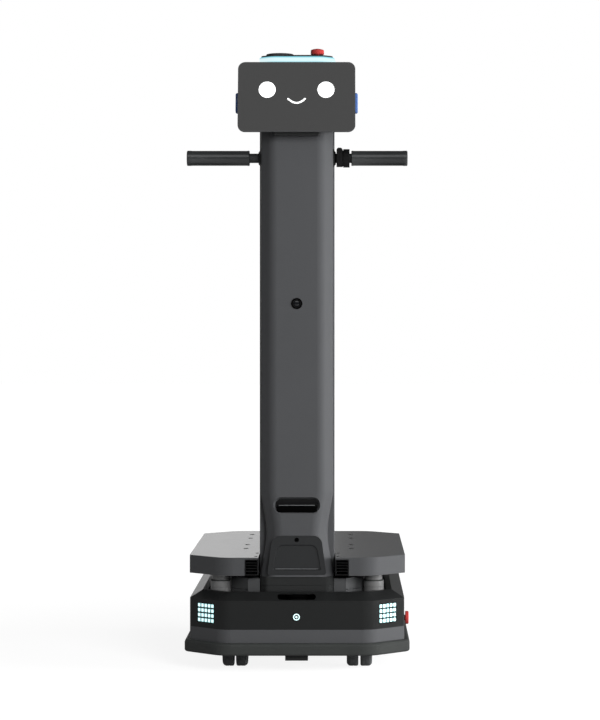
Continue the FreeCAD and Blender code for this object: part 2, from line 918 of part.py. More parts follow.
# ---- Drive units ----
def make_drive_tyre(side):
    half = drive_wheel_width / 2
    r, t = drive_wheel_radius, drive_tyre_thickness
    profile = [(r - t, -half), (r - 3, -half), (r, -half + 3), (r, half - 3), (r - 3, half), (r - t, half)]
    return turned_along_x(profile, side * drive_wheel_x, 0, drive_wheel_radius)


def make_drive_hub(side):
    half = drive_wheel_width / 2
    rim = drive_wheel_radius - drive_tyre_thickness
    profile = [(0, -half + 6), (20, -half + 6), (24, -6), (rim - 8, -6), (rim - 5, -half),
               (rim, -half), (rim, half), (rim - 5, half), (rim - 8, 2), (24, 2), (20, 8), (0, 8)]
    hub = turned_along_x(profile, 0, 0, drive_wheel_radius)
    holes = []
    for i in range(drive_hub_hole_count):
        angle = 2 * math.pi * i / drive_hub_hole_count
        y = drive_hub_hole_circle * math.cos(angle)
        z = drive_wheel_radius + drive_hub_hole_circle * math.sin(angle)
        holes.append(rod_x(drive_hub_hole_radius, -half, half, y, z))
    hub = hub.cut(holes)
    axle = rod_x(axle_radius, -half - well_gap - arm_thickness / 2, -half + 6, 0, drive_wheel_radius)
    hub = hub.fuse(axle).removeSplitter()
    if side < 0:
        hub = mirrored_x(hub)
    return hub.translate(vec(side * drive_wheel_x, 0, 0))


# Rocker arm from the pivot behind the wheel to a round flange round the axle.
def make_drive_arm(side):
    z = drive_wheel_radius
    big, small = arm_end_radius, arm_pivot_radius
    length = math.hypot(arm_pivot_y, arm_pivot_z - z)
    lean = math.asin((big - small) / length)
    rise, reach = math.cos(lean), math.sin(lean)
    edge = [(big * reach, big * rise), (length + small * reach, small * rise),
            (length + small * reach, -small * rise), (big * reach, -big * rise)]
    web = slab_facing_side(edge, [0.0] * 4, arm_inner_x, arm_outer_x)
    web.rotate(vec(0, 0, 0), vec(1, 0, 0), math.degrees(math.atan2(arm_pivot_z - z, arm_pivot_y)))
    web.translate(vec(0, 0, z))
    flange = rod_x(big, arm_inner_x, arm_outer_x, 0, z)
    boss = rod_x(small, arm_inner_x - arm_boss_length, arm_outer_x, arm_pivot_y, arm_pivot_z)
    arm = fused([web, flange, boss])
    arm = arm.cut([rod_x(axle_radius + fit, arm_inner_x - 1, arm_outer_x + 1, 0, z),
                   rod_x(pivot_pin_radius + running, arm_inner_x - 10, arm_outer_x + 1,
                         arm_pivot_y, arm_pivot_z)])
    arm = fused([arm, drive_motor()])
    return arm if side > 0 else mirrored_x(arm)


# Motor and gearbox, bolted to the inner face of the arm.
def drive_motor():
    z = drive_wheel_radius
    gearbox = rod_x(gearbox_radius, arm_inner_x - gearbox_length, arm_inner_x, 0, z)
    can = rod_x(motor_radius, arm_inner_x - motor_length, arm_inner_x - gearbox_length, 0, z)
    rim = [e for e in can.Edges if len(e.Vertexes) == 1]
    can = can.makeFillet(2.0, rim)
    bore = rod_x(axle_radius + fit, arm_inner_x - gearbox_length + 2, arm_inner_x + 1, 0, z)
    return fused([gearbox, can]).cut(bore)


# Pivot bracket under the chassis plate: two lugs and the pin through the arm's boss.
def pivot_bracket(side):
    z, y = arm_pivot_z, arm_pivot_y
    half = arm_pivot_radius - 2.0
    edge = [(y - half, z - half), (y + half, z - half), (y + half, skirt_top), (y - half, skirt_top)]
    inner = arm_inner_x - arm_boss_length - running - pivot_lug_thickness
    outer = arm_outer_x + running
    lugs = [slab_facing_side(edge, [half - 1.0, half - 1.0, 0.0, 0.0], low, low + pivot_lug_thickness)
            for low in (inner, outer)]
    pin = rod_x(pivot_pin_radius, inner, outer + pivot_lug_thickness, y, z)
    bracket = fused(lugs + [pin])
    return bracket if side > 0 else mirrored_x(bracket)


# ---- Lifting columns and the housing between them ----
def post_places():
    return [(sx * post_x, sy * post_y) for sx in (-1, 1) for sy in (-1, 1)]


def make_lift_sleeve(x, y):
    tube = rod_z(sleeve_radius, x, y, chassis_top, sleeve_top)
    foot = rod_z(sleeve_foot_radius, x, y, chassis_top, chassis_top + sleeve_foot_height)
    bore = rod_z(ram_radius + fit, x, y, chassis_top + 2.0, sleeve_top + 1)
    return tube.fuse(foot).cut(bore).removeSplitter()


def make_lift_wiper(x, y):
    profile = [(ram_radius + running, 0), (sleeve_radius, 0), (wiper_radius, wiper_height - 1.0),
               (ram_radius + 1.0, wiper_height), (ram_radius + running, wiper_height)]
    return turned(profile).translate(vec(x, y, sleeve_top))


def make_lift_ram(x, y):
    shaft = rod_z(ram_radius, x, y, ram_bottom, deck_skin)
    flange = rod_z(ram_flange_radius, x, y, deck_skin - ram_flange_thickness, deck_skin)
    return shaft.fuse(flange).removeSplitter()


def at_posts(maker):
    return Part.makeCompound([maker(x, y) for x, y in post_places()])


# Tray-shaped cover of the lift drive: open underneath, closed on top.
def make_lift_housing():
    low, high = top_plate_top, top_plate_top + housing_height
    outer = slab(rectangle(housing_half_width, column_back + 4.0, housing_back), [6.0] * 4, low, high)
    inner = slab(rectangle(housing_half_width - housing_wall, column_back + 4.0 + housing_wall,
                           housing_back - housing_wall), [3.0] * 4, low - 1, high - housing_wall)
    wings = []
    for side in (-1, 1):
        near, far = side * (plinth_half_width + 1.0), side * housing_half_width
        wings.append(block(min(near, far), max(near, far), housing_front, column_back + 10.0, low, high))
    hollow_wings = []
    for side in (-1, 1):
        near = side * (plinth_half_width + 1.0 + housing_wall)
        far = side * (housing_half_width - housing_wall)
        hollow_wings.append(block(min(near, far), max(near, far), housing_front + housing_wall,
                                  column_back + 12.0, low - 1, high - housing_wall))
    return fused([outer] + wings).cut([inner] + hollow_wings)


# Side covers beside the housing, whose corners they cut off in plan: a skirt strip, a thin
# dark seam and the cover above it, round the lifting columns at both ends.
def cheek_slab(inset, low, high):
    near, far = housing_half_width + cheek_gap + inset, cheek_half_width - inset
    leg = cheek_half_width - housing_half_width - cheek_gap
    front, back = housing_front + inset, housing_back - inset
    corners = [(near, front), (far, front + leg), (far, back - leg), (near, back)]
    return slab(corners, [0.0] * 4, low, high)


def make_housing_cheek():
    low = top_plate_top
    cover_low = low + cheek_skirt_height + cheek_seam
    strip = cheek_slab(0.0, low, low + cheek_skirt_height)
    cover = cheek_slab(0.0, cover_low, low + cheek_height)
    core = cheek_slab(cheek_core_inset, low, cover_low + 1)
    body = fused([strip, core, cover])
    seat_radius = sleeve_radius + cheek_post_gap
    seats = [rod_z(seat_radius, post_x, side * post_y, low - 1, low + cheek_height + 1) for side in (-1, 1)]
    return body.cut(seats)


def make_housing_cheeks():
    cheek = make_housing_cheek()
    return Part.makeCompound([mirrored_x(cheek), cheek])


# ---- Deck: an inverted tray with a notch at the front for the column ----
def deck_plan(inset):
    leg = deck_corner - inset * (2 - math.sqrt(2))
    corners = octagon(deck_half_width - inset, deck_half_length - inset, leg)
    return corners, octagon_radii(deck_edge_round - inset, max(8.0 - inset, 2.0))


def deck_slab(inset, low, high):
    corners, radii = deck_plan(inset)
    body = slab(corners, radii, low, high)
    half = notch_half_width + inset
    notch = block(-half, half, -deck_half_length - 1, notch_back + inset, low - 1, high + 1)
    return body.cut(notch)


def rack_hole_places():
    rows = [share * deck_half_length for share in rack_row_shares]
    return [(side * rack_hole_x, y) for side in (-1, 1) for y in rows]


# Ribs welded under the plate: two long ones and the cross ribs between them.
def deck_ribs():
    ribs = []
    low = deck_skin - deck_rib_height
    back = deck_half_length - deck_wall
    half = deck_rib_thickness / 2
    for side in (-1, 1):
        x = side * deck_rib_x
        ribs.append(block(x - half, x + half, notch_back + 20.0, back - 20.0, low, deck_skin))
    for share in deck_cross_rib_shares:
        y = share * deck_half_length
        ribs.append(block(-deck_rib_x, deck_rib_x, y - half, y + half, low, deck_skin))
    return ribs


def make_deck_plate():
    tray = deck_slab(0.0, deck_bottom, deck_top).cut(deck_slab(deck_wall, deck_bottom - 1, deck_skin))
    inserts = [rod_z(insert_radius, x, y, deck_skin - insert_length, deck_skin)
               for x, y in rack_hole_places()]
    tray = fused([tray] + deck_ribs() + inserts)
    cuts = []
    for side in (-1, 1):
        mouth = block(notch_half_width - 1, vent_outer_x, -deck_half_length - 1,
                      -deck_half_length + deck_wall + 0.5, deck_bottom - 1, deck_skin)
        flank = block(notch_half_width - 1, notch_half_width + deck_wall + 0.5, -deck_half_length - 1,
                      -deck_half_length + vent_depth + fit, deck_bottom - 1, deck_skin)
        for opening in (mouth, flank):
            cuts.append(opening if side > 0 else mirrored_x(opening))
        for setback in vent_screws_from_deck_front:
            cuts.append(rod_z(vent_screw_radius + fit, side * vent_screw_x, setback - deck_half_length,
                              deck_skin - 1, deck_top + 1))
    for x, y in rack_hole_places():
        cuts.append(rod_z(rack_hole_radius, x, y, deck_skin - insert_length - 1, deck_top + 1))
    return tray.cut(cuts)


# Vent beside the column: a thin frame with raked slats.
def make_vent(side):
    near, far = notch_half_width + fit, vent_outer_x - fit
    front, back = -deck_half_length + 0.5, -deck_half_length + vent_depth
    low, high = deck_bottom + 1.0, deck_skin
    frame = block(near, far, front, back, low, high)
    frame = frame.cut(block(near + vent_frame, far - vent_frame, front - 1, back + 1,
                            low + vent_frame, high - vent_frame))
    clear = high - low - 2 * vent_frame
    slats = []
    for i in range(vent_slat_count - 1):
        z = low + vent_frame + clear * (i + 1) / vent_slat_count
        back_z, thick = z + vent_slat_rake, vent_slat_thickness
        profile = [(front + 1, z), (back - 1, back_z), (back - 1, back_z + thick), (front + 1, z + thick)]
        slats.append(slab_facing_side(profile, [0.0] * 4, near + 0.5, far - 0.5))
    vent = fused([frame] + slats)
    return vent if side > 0 else mirrored_x(vent)


def make_vents():
    return Part.makeCompound([make_vent(side) for side in (-1, 1)])


# ---- Column ----
# Plan of the front cover at a height where its half width is given; inset draws it in.
def cover_plan(half_width, inset):
    w = half_width - inset
    flat = half_width - column_facet - inset * (math.sqrt(2) - 1)
    front = column_front + inset
    shoulder = column_front + column_facet + inset * (math.sqrt(2) - 1)
    corners = [(-flat, front), (flat, front), (w, shoulder), (w, column_split),
               (-w, column_split), (-w, shoulder)]
    return corners, [front_round - inset, front_round - inset, flank_round - inset, 0, 0, flank_round - inset]


def cover_sections(inset):
    middle_low = (plinth_top + waist_z) / 2
    middle_high = (waist_z + waist_top) / 2
    near_foot = waist_half_width + (foot_half_width - waist_half_width) * waist_low_share
    near_top = waist_half_width + (column_half_width - waist_half_width) * waist_high_share
    return [(plinth_top, foot_half_width), (middle_low, near_foot), (waist_z, waist_half_width),
            (middle_high, near_top), (waist_top, column_half_width)]


# The cover's solid shape: drawn in to a waist above the flared foot, straight above that.
def cover_body(inset):
    wires = [outline(*cover_plan(half, inset), z) for z, half in cover_sections(inset)]
    lower = Part.makeLoft(wires, True, False)
    corners, radii = cover_plan(column_half_width, inset)
    upper = slab(corners, radii, waist_top, column_top)
    return [lower, upper]


def foot_panel_corners(grow):
    top, bottom = foot_panel_top + grow, foot_panel_bottom - grow
    half_top, half_bottom = foot_panel_half_top + grow, foot_panel_half_bottom + grow
    return [(-half_bottom, bottom), (half_bottom, bottom), (half_top, top), (-half_top, top)]


def foot_panel_radii():
    return [foot_panel_low_round] * 2 + [foot_panel_round] * 2


def hatch_radii():
    return [hatch_low_round] * 2 + [hatch_round] * 2


def hatch_corners(grow):
    top, bottom = hatch_top + grow, hatch_bottom - grow
    half_top, half_bottom = hatch_half_top + grow, hatch_half_bottom + grow
    return [(-half_bottom, bottom), (half_bottom, bottom), (half_top, top), (-half_top, top)]


# Pill shape of the slot camera; grow widens it all round.
def slot_camera_outline(grow):
    half_height = (slot_camera_top - slot_camera_bottom) / 2 + grow
    middle = (slot_camera_top + slot_camera_bottom) / 2
    corners = rectangle(slot_camera_half_width + grow, middle - half_height, middle + half_height)
    return corners, [half_height - 0.01] * 4


# Cup that narrows from the pill in the cover's skin to the camera behind it.
def slot_cup(grow):
    return flare_facing_front(slot_camera_outline(grow), slot_camera_outline(grow - slot_cup_narrowing),
                              column_front, column_front + slot_cup_depth)


def make_front_cover():
    outer_low, outer_high = cover_body(0.0)
    inner_low, inner_high = cover_body(column_wall)
    wide = foot_half_width + 1
    behind = block(-wide, wide, column_split - 0.01, column_back, plinth_top - 1, column_top + 1)
    cup = slot_cup(slot_cup_wall).common(outer_low)
    lower = outer_low.cut(inner_low).cut(behind).fuse(cup)
    upper = outer_high.cut(inner_high).cut(behind)
    cover = lower.fuse(upper).removeSplitter()
    skin_back = column_front + column_wall + 1
    panel_back = column_front + foot_panel_sink + foot_panel_thickness + fit
    opening = slab_facing_front(foot_panel_corners(0.0), foot_panel_radii(), column_front - 1, panel_back)
    cuts = [opening, slot_cup(0.0),
            rod_y(round_camera_radius, 0, column_front - 1, skin_back, round_camera_z),
            rod_x(handle_radius + fit, -wide, wide, handle_y, handle_z)]
    return cover.cut(cuts)


def rear_plan(inset):
    w = rear_half_width - inset
    corners = [(-w, column_split + inset), (w, column_split + inset), (w, column_back - inset),
               (-w, column_back - inset)]
    return corners, [max(rear_edge_round - inset, 0.0)] * 2 + [back_round - inset] * 2


def make_rear_shell():
    outer = slab(*rear_plan(0.0), plinth_top, column_top)
    inner = slab(*rear_plan(column_wall), plinth_top - 1, column_top + 1)
    mouth = block(-rear_half_width + rear_lip, rear_half_width - rear_lip, column_split - 1,
                  column_split + column_wall + 1, plinth_top - 1, column_top + 1)
    flange_seats = [rod_x(handle_radius + fit, -rear_half_width - 1, rear_half_width + 1,
                          handle_y, handle_z)]
    return outer.cut([inner, mouth] + flange_seats)


# Steel tube of the column, welded into an open pedestal box on the chassis plate.
def make_spine():
    half_w, half_d = spine_width / 2, spine_depth / 2
    wide, deep, wall = pedestal_width / 2, pedestal_depth / 2, pedestal_wall
    box = block(-wide, wide, spine_y - deep, spine_y + deep, chassis_top, top_plate_bottom)
    box = box.cut(block(-wide + wall, wide - wall, spine_y - deep + wall, spine_y + deep - wall,
                        chassis_top - 1, top_plate_bottom - wall))
    tube = block(-half_w, half_w, spine_y - half_d, spine_y + half_d, chassis_top, spine_top)
    bore = block(-half_w + spine_wall, half_w - spine_wall, spine_y - half_d + spine_wall,
                 spine_y + half_d - spine_wall, chassis_top - 1, spine_top + 1)
    return fused([box, tube]).cut([bore, rod_x(handle_radius, -half_w - 1, half_w + 1, handle_y, handle_z)])


def plinth_plan(inset):
    w, c = plinth_half_width - inset, plinth_corner
    front, back = plinth_front + inset, column_back + plinth_back_reach - inset
    corners = [(-w + c, front), (w - c, front), (w, front + c), (w, back), (-w, back), (-w, front + c)]
    radii = [plinth_front_round] * 2 + [plinth_side_round] * 4
    return corners, radii


def make_plinth():
    outer = slab(*plinth_plan(0.0), top_plate_top, plinth_top)
    inset = plinth_wall + plinth_core_gap
    hollow = block(-plinth_half_width + inset, plinth_half_width - inset, plinth_front + inset,
                   column_back - plinth_wall, top_plate_top - 1, plinth_top - plinth_wall)
    socket = block(-spine_width / 2 - running, spine_width / 2 + running,
                   spine_y - spine_depth / 2 - running, spine_y + spine_depth / 2 + running,
                   plinth_top - plinth_wall - 1, plinth_top + 1)
    groove = slab(*plinth_plan(-1.0), plinth_groove_z, plinth_groove_z + plinth_groove)
    groove = groove.cut(slab(*plinth_plan(plinth_groove_depth), plinth_groove_z - 1,
                             plinth_groove_z + plinth_groove + 1))
    return outer.cut([hollow, socket, groove])


def make_foot_panel():
    front = column_front + foot_panel_sink
    panel = slab_facing_front(foot_panel_corners(-fit), foot_panel_radii(), front,
                              front + foot_panel_thickness)
    pocket = slab_facing_front(hatch_corners(fit), hatch_radii(), front - 1,
                               front + hatch_sink + hatch_thickness)
    flare = flare_facing_front((hatch_corners(fit + hatch_flare), hatch_radii()),
                               (hatch_corners(fit), hatch_radii()), front, front + hatch_flare)
    sensor = rod_y(foot_sensor_radius + 2.0, 0, front + 1.0, front + foot_sensor_depth, foot_sensor_z)
    mouth = rod_y(foot_sensor_radius, 0, front - 1, front + foot_sensor_sink, foot_sensor_z)
    return panel.cut([pocket, flare]).fuse(sensor).cut(mouth).removeSplitter()


def make_foot_hatch():
    front = column_front + foot_panel_sink
    face = front + hatch_sink
    plate = slab_facing_front(hatch_corners(0.0), hatch_radii(), face, face + hatch_thickness)
    strip = block(-hatch_half_bottom, hatch_half_bottom, front - 1, face + hatch_ledge_sink,
                  hatch_bottom - 1, hatch_bottom + hatch_ledge)
    return plate.cut(strip)


# Depth camera behind the cup: a brow leaning back to a thin lip, and under the lip a deep
# mouth with two lenses.
def make_slot_camera():
    face = column_front + slot_cup_depth
    shrunk = slot_camera_margin - slot_cup_narrowing
    body = slab_facing_front(*slot_camera_outline(shrunk), face, face + slot_camera_depth)
    brow_low = slot_lip_z + slot_lip_height
    wide = slot_camera_half_width + 1
    slope = slab_facing_side([(face - 1, brow_low), (face + slot_brow_depth, brow_low),
                              (face, slot_camera_top), (face - 1, slot_camera_top)], [0.0] * 4, -wide, wide)
    mouth_corners = rectangle(slot_mouth_half_width, slot_mouth_bottom, slot_lip_z)
    mouth = slab_facing_front(mouth_corners, [slot_mouth_round] * 2 + [2.0] * 2, face - 1,
                              face + slot_mouth_depth)
    lip = block(-slot_mouth_half_width, slot_mouth_half_width, face + slot_brow_depth - slot_lip_reach,
                face + slot_brow_depth + 1, slot_lip_z, brow_low)
    body = body.cut([slope.common(slot_cup_shadow()), mouth]).fuse(lip)
    return fused([body] + slot_lenses(face + slot_mouth_depth)).removeSplitter()


# Straight run of the cup's narrow end, which bounds what the brow may cut.
def slot_cup_shadow():
    narrow = slot_camera_outline(-slot_cup_narrowing)
    return slab_facing_front(*narrow, column_front, column_front + slot_cup_depth + slot_camera_depth)


def slot_lenses(floor):
    z = (slot_mouth_bottom + slot_lip_z) / 2
    lenses = []
    for side in (-1, 1):
        barrel = rod_y(slot_lens_radius, side * slot_lens_x, floor - 2.5, floor + 1, z)
        reach = slot_lens_radius * 1.4
        ball = Part.makeSphere(reach, vec(side * slot_lens_x, floor - 3.4 + reach, z))
        lenses.append(barrel.fuse(ball.common(rod_y(slot_lens_radius - 1, side * slot_lens_x, floor - 6,
                                                    floor, z))))
    return lenses


def make_round_camera():
    front = column_front - round_camera_rim
    barrel = rod_y(round_camera_radius - 0.1, 0, front, front + round_camera_depth, round_camera_z)
    rim = rod_y(round_camera_radius + 1.4, 0, front, column_front, round_camera_z)
    lens_front = front + round_camera_lens_sink
    mouth = rod_y(round_camera_lens_radius, 0, front - 1, lens_front + 3.0, round_camera_z)
    reach = round_camera_lens_radius * 1.7
    ball = Part.makeSphere(reach, vec(0, lens_front + reach, round_camera_z))
    return barrel.fuse(rim).cut(mouth).fuse(ball.common(mouth)).removeSplitter()


# ---- Handles ----
def make_handle_bar():
    bar = rod_x(handle_radius, -handle_end, handle_end, handle_y, handle_z)
    bore = rod_x(handle_radius - handle_wall, -handle_end - 1, handle_end + 1, handle_y, handle_z)
    return bar.cut(bore)


def make_handle_flanges():
    parts = []
    for side in (-1, 1):
        r, t = handle_flange_radius, handle_flange_thickness
        profile = [(handle_radius + running, 0), (r, 0), (r, t * 0.35), (r - handle_flange_face, t * 0.6),
                   (handle_radius + handle_flange_lip, t), (handle_radius + running, t)]
        flange = turned_along_x(profile, column_half_width, handle_y, handle_z)
        flange = flange.cut(slab(*rear_plan(0.0), plinth_top, column_top))
        parts.append(flange if side > 0 else mirrored_x(flange))
    return Part.makeCompound(parts)


# Rubber grip, plain along its length, with a rounded and closed outer end.
def make_grip(side, start):
    length = grip_outer_x - start
    r, dome = grip_radius, grip_dome
    profile = [(0, length), (r - dome, length)]
    for angle in (30, 60, 90):
        a = math.radians(angle)
        profile.append((r - dome + dome * math.sin(a), length - dome + dome * math.cos(a)))
    profile += [(r, 1.0), (r - 1.0, 0), (handle_radius + running, 0),
                (handle_radius + running, handle_end - start + running), (0, handle_end - start + running)]
    grip = turned_along_x(profile, start, handle_y, handle_z)
    return grip if side > 0 else mirrored_x(grip)


def make_grips():
    return Part.makeCompound([make_grip(-1, left_grip_start), make_grip(1, right_grip_start)])


# Clamp of the thumb switch: a collar and a wider split band, with an ear behind for its screw.
def make_switch_clamp():
    groove_end = clamp_ear_start + clamp_groove
    collar = rod_x(clamp_radius, clamp_start, clamp_ear_start, handle_y, handle_z)
    neck = rod_x(clamp_radius - clamp_groove_depth, clamp_ear_start, groove_end, handle_y, handle_z)
    band = rod_x(clamp_band_radius, groove_end, clamp_end, handle_y, handle_z)
    half = clamp_ear_half_height
    ear_corners = [(handle_y, handle_z - half), (handle_y + clamp_ear_reach, handle_z - half),
                   (handle_y + clamp_ear_reach, handle_z + half), (handle_y, handle_z + half)]
    ear = slab_facing_side(ear_corners, [0.0, 4.0, 4.0, 0.0], groove_end, clamp_end)
    clamp = fused([collar, neck, band, ear])
    slit = block(clamp_start - 1, clamp_end + 1, handle_y, handle_y + clamp_ear_reach + 1,
                 handle_z - clamp_slit / 2, handle_z + clamp_slit / 2)
    bore = rod_x(handle_radius + running, clamp_start - 1, clamp_end + 1, handle_y, handle_z)
    pivot_seat = rod_y(lever_pivot_radius + fit, lever_x, handle_y - clamp_radius - 1,
                       handle_y - clamp_radius + lever_pivot_depth + fit, handle_z + lever_pivot_rise)
    return clamp.cut([slit, bore, pivot_seat])


# Paddle of the thumb switch: it rocks on a stub that sits in the clamp.
def make_thumb_lever():
    front = handle_y - clamp_band_radius - fit - lever_thickness
    back = front + lever_thickness
    low, high = handle_z - lever_low, handle_z + lever_top
    corners = [(lever_x + dx, z) for dx, z in rectangle(lever_half_width, low, high)]
    paddle = slab_facing_front(corners, [3.0, 3.0, 5.0, 5.0], front, back)
    rim = [e for e in paddle.Edges if all(v.Y < front + 0.1 for v in e.Vertexes)]
    paddle = paddle.makeFillet(1.2, rim)
    stub = rod_y(lever_pivot_radius, lever_x, back - 1.0, back + fit + lever_pivot_depth,
                 handle_z + lever_pivot_rise)
    return paddle.fuse(stub).removeSplitter()


# ---- Head: drawn upright with its face at Y = 0 and its foot at Z = 0, then tilted ----
def seat_head(shape):
    shape.rotate(vec(0, 0, 0), vec(1, 0, 0), -head_tilt)
    return shape.translate(vec(0, head_front, head_bottom))


def head_outline(inset):
    corners = rectangle(head_half_width - inset, inset, head_height - inset)
    return corners, [max(head_round - inset, 3.0)] * 4


def head_slab(inset, y_front, y_back):
    corners, radii = head_outline(inset)
    return slab_facing_front(corners, radii, y_front, y_back)


def head_loft(inset_front, y_front, inset_back, y_back):
    return flare_facing_front(head_outline(inset_front), head_outline(inset_back), y_front, y_back)


# The column's whole plan, front cover and rear shell together.
def column_plan(inset):
    corners, radii = cover_plan(column_half_width, inset)
    w, back = rear_half_width - inset, column_back - inset
    corners[3], corners[4] = (w, back), (-w, back)
    radii[3] = radii[4] = back_round - inset
    return corners, radii


def column_envelope(gap):
    corners, radii = column_plan(-gap)
    return slab(corners, radii, plinth_top, column_top)


def make_bezel():
    frame = head_slab(0.0, 0.0, bezel_depth)
    pocket = head_slab(glass_border, -1.0, glass_thickness)
    window = head_slab(module_inset - fit, -1.0, bezel_depth + 1)
    return seat_head(frame.cut([pocket, window]))


# Cover glass with the display bonded to its back.
def make_glass():
    glass = head_slab(glass_border + running, 0.0, glass_thickness)
    display = head_slab(module_inset, glass_thickness, glass_thickness + module_thickness)
    return seat_head(glass.fuse(display).removeSplitter())


def ear_outline(grow):
    half_height = ear_height / 2 + grow
    near, far = ear_from_front - ear_depth / 2 - grow, ear_from_front + ear_depth / 2 + grow
    corners = [(near, ear_middle - half_height), (far, ear_middle - half_height),
               (far, ear_middle + half_height), (near, ear_middle + half_height)]
    return corners, [5.0 + grow] * 4


def make_head_shell():
    outer = head_loft(0.0, bezel_depth, head_taper, head_depth)
    inner = head_loft(head_wall, bezel_depth - 0.01, head_taper + head_wall, head_depth - head_wall)
    corners, radii = ear_outline(fit)
    ears = [slab_facing_side(corners, radii, low, low + 60.0)
            for low in (-head_half_width - 30.0, head_half_width - 30.0)]
    shell = outer.cut([inner] + ears)
    return seat_head(shell).cut(column_envelope(0.0))


# Blue button on the side of the head, with bevelled ends and a foot inside the shell.
def make_ear_button(side):
    tip = head_half_width + ear_reach
    corners, radii = ear_outline(0.0)
    button = slab_facing_side(corners, radii, ear_root, tip)
    rim = [e for e in button.Edges if all(v.X > tip - 0.1 for v in e.Vertexes)]
    button = button.makeChamfer(ear_chamfer * 0.6, rim)
    return seat_head(button if side > 0 else mirrored_x(button))


def make_neck():
    low = head_bottom - neck_drop
    high = low + neck_height + neck_cover
    profile = [(column_front, low - neck_skirt), (column_front, high), (neck_front, high), (neck_front, low)]
    body = slab_facing_side(profile, [0.0, 0.0, 0.0, 2.0], -neck_half_width, neck_half_width)
    head = fused([seat_head(head_slab(0.0, -20.0, bezel_depth)),
                  seat_head(head_loft(0.0, bezel_depth, head_taper, head_depth))])
    return body.cut(head)


# ---- Crown ----
def make_light_ring():
    corners, radii = column_plan(-crown_reach)
    outer = slab(corners, radii, column_top, column_top + ring_height)
    top_rim = [e for e in outer.Edges if all(v.Z > column_top + ring_height - 0.1 for v in e.Vertexes)]
    outer = outer.makeFillet(3.0, top_rim)
    corners, radii = column_plan(cap_inset)
    return outer.cut(slab(corners, radii, column_top - 1, column_top + ring_height + 1))


def make_crown_cap():
    corners, radii = column_plan(cap_inset)
    core = slab(corners, radii, column_top, column_top + ring_height)
    top = column_top + ring_height
    corners, radii = column_plan(1.0)
    plate = slab(corners, radii, top, crown_top)
    rim = [e for e in plate.Edges if all(v.Z > crown_top - 0.1 for v in e.Vertexes)]
    plate = plate.makeFillet(2.0, rim)
    well = rod_z(stop_stem_radius + fit, stop_x, stop_y, crown_top - stop_stem_depth,
                 crown_top + stop_collar_height + 1)
    hollow = block(-cap_hollow_left, cap_hollow_right, column_front + cap_hollow_front,
                   column_front + cap_hollow_back, column_top - 1, column_top + cap_hollow_height)
    collar = rod_z(stop_collar_radius, stop_x, stop_y, crown_top, crown_top + stop_collar_height)
    radius = (dome_radius ** 2 + dome_height ** 2) / (2 * dome_height)
    ball = Part.makeSphere(radius, vec(dome_x, dome_y, crown_top + dome_height - radius))
    dome = ball.common(rod_z(dome_radius + 1, dome_x, dome_y, crown_top, crown_top + dome_height + 1))
    return fused([core, plate, collar, dome]).cut([well, hollow])


def make_head_stop():
    rise = stop_collar_height + stop_travel + fit
    button = stop_button(stop_radius, stop_cap_height, stop_stem_radius, stop_stem_depth)
    return button.translate(vec(stop_x, stop_y, crown_top + rise))


# ---- Every node and the function that makes it ----
def nodes():
    made = {
        "bumper": make_bumper(),
        "lower_skirt": make_lower_skirt(),
        "belly_pan": make_belly_pan(),
        "chassis_plate": make_chassis_plate(),
        "upper_shell": make_upper_shell(),
        "top_plate": make_top_plate(),
        "corner_light_panels": make_light_panels(),
        "corner_light_cells": make_light_cells(),
        "status_light": make_status_light(),
        "front_lidar": make_lidar(),
        "battery_pack": make_battery(),
        "control_boxes": make_computer(),
        "charge_contacts": make_charge_contacts(),
        "rear_panel": make_rear_panel(),
        "power_button": make_power_button(),
        "side_stop_button": make_side_stop(),
        "caster_plates": make_caster_plates(),
        "lift_sleeves": at_posts(make_lift_sleeve),
        "lift_wipers": at_posts(make_lift_wiper),
        "lift_rams": at_posts(make_lift_ram),
        "lift_housing": make_lift_housing(),
        "housing_cheeks": make_housing_cheeks(),
        "deck_plate": make_deck_plate(),
        "deck_vents": make_vents(),
        "column_spine": make_spine(),
        "column_plinth": make_plinth(),
        "column_rear_shell": make_rear_shell(),
        "column_front_cover": make_front_cover(),
        "foot_panel": make_foot_panel(),
        "foot_hatch": make_foot_hatch(),
        "slot_camera": make_slot_camera(),
        "round_camera": make_round_camera(),
        "handle_bar": make_handle_bar(),
        "handle_flanges": make_handle_flanges(),
        "handle_grips": make_grips(),
        "switch_clamp": make_switch_clamp(),
        "thumb_lever": make_thumb_lever(),
        "head_bezel": make_bezel(),
        "screen_glass": make_glass(),
        "head_shell": make_head_shell(),
        "head_neck": make_neck(),
        "light_ring": make_light_ring(),
        "crown_cap": make_crown_cap(),
        "head_stop_button": make_head_stop(),
    }
    for side, name in ((-1, "left"), (1, "right")):
        made[name + "_ear_button"] = make_ear_button(side)
        made[name + "_drive_arm"] = make_drive_arm(side)
        made[name + "_drive_hub"] = make_drive_hub(side)
        made[name + "_drive_tyre"] = make_drive_tyre(side)
    for x, y in caster_places():
        place = ("front_" if y < 0 else "rear_") + ("left" if x < 0 else "right")
        made[place + "_caster_frame"] = make_caster_frame(x, y)
        made[place + "_caster_wheels"] = make_caster_wheels(x, y)
    return made


os.makedirs("parts", exist_ok=True)
for node, solid in nodes().items():
    solid.exportStep("parts/" + node + ".step")
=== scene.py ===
import json
import math

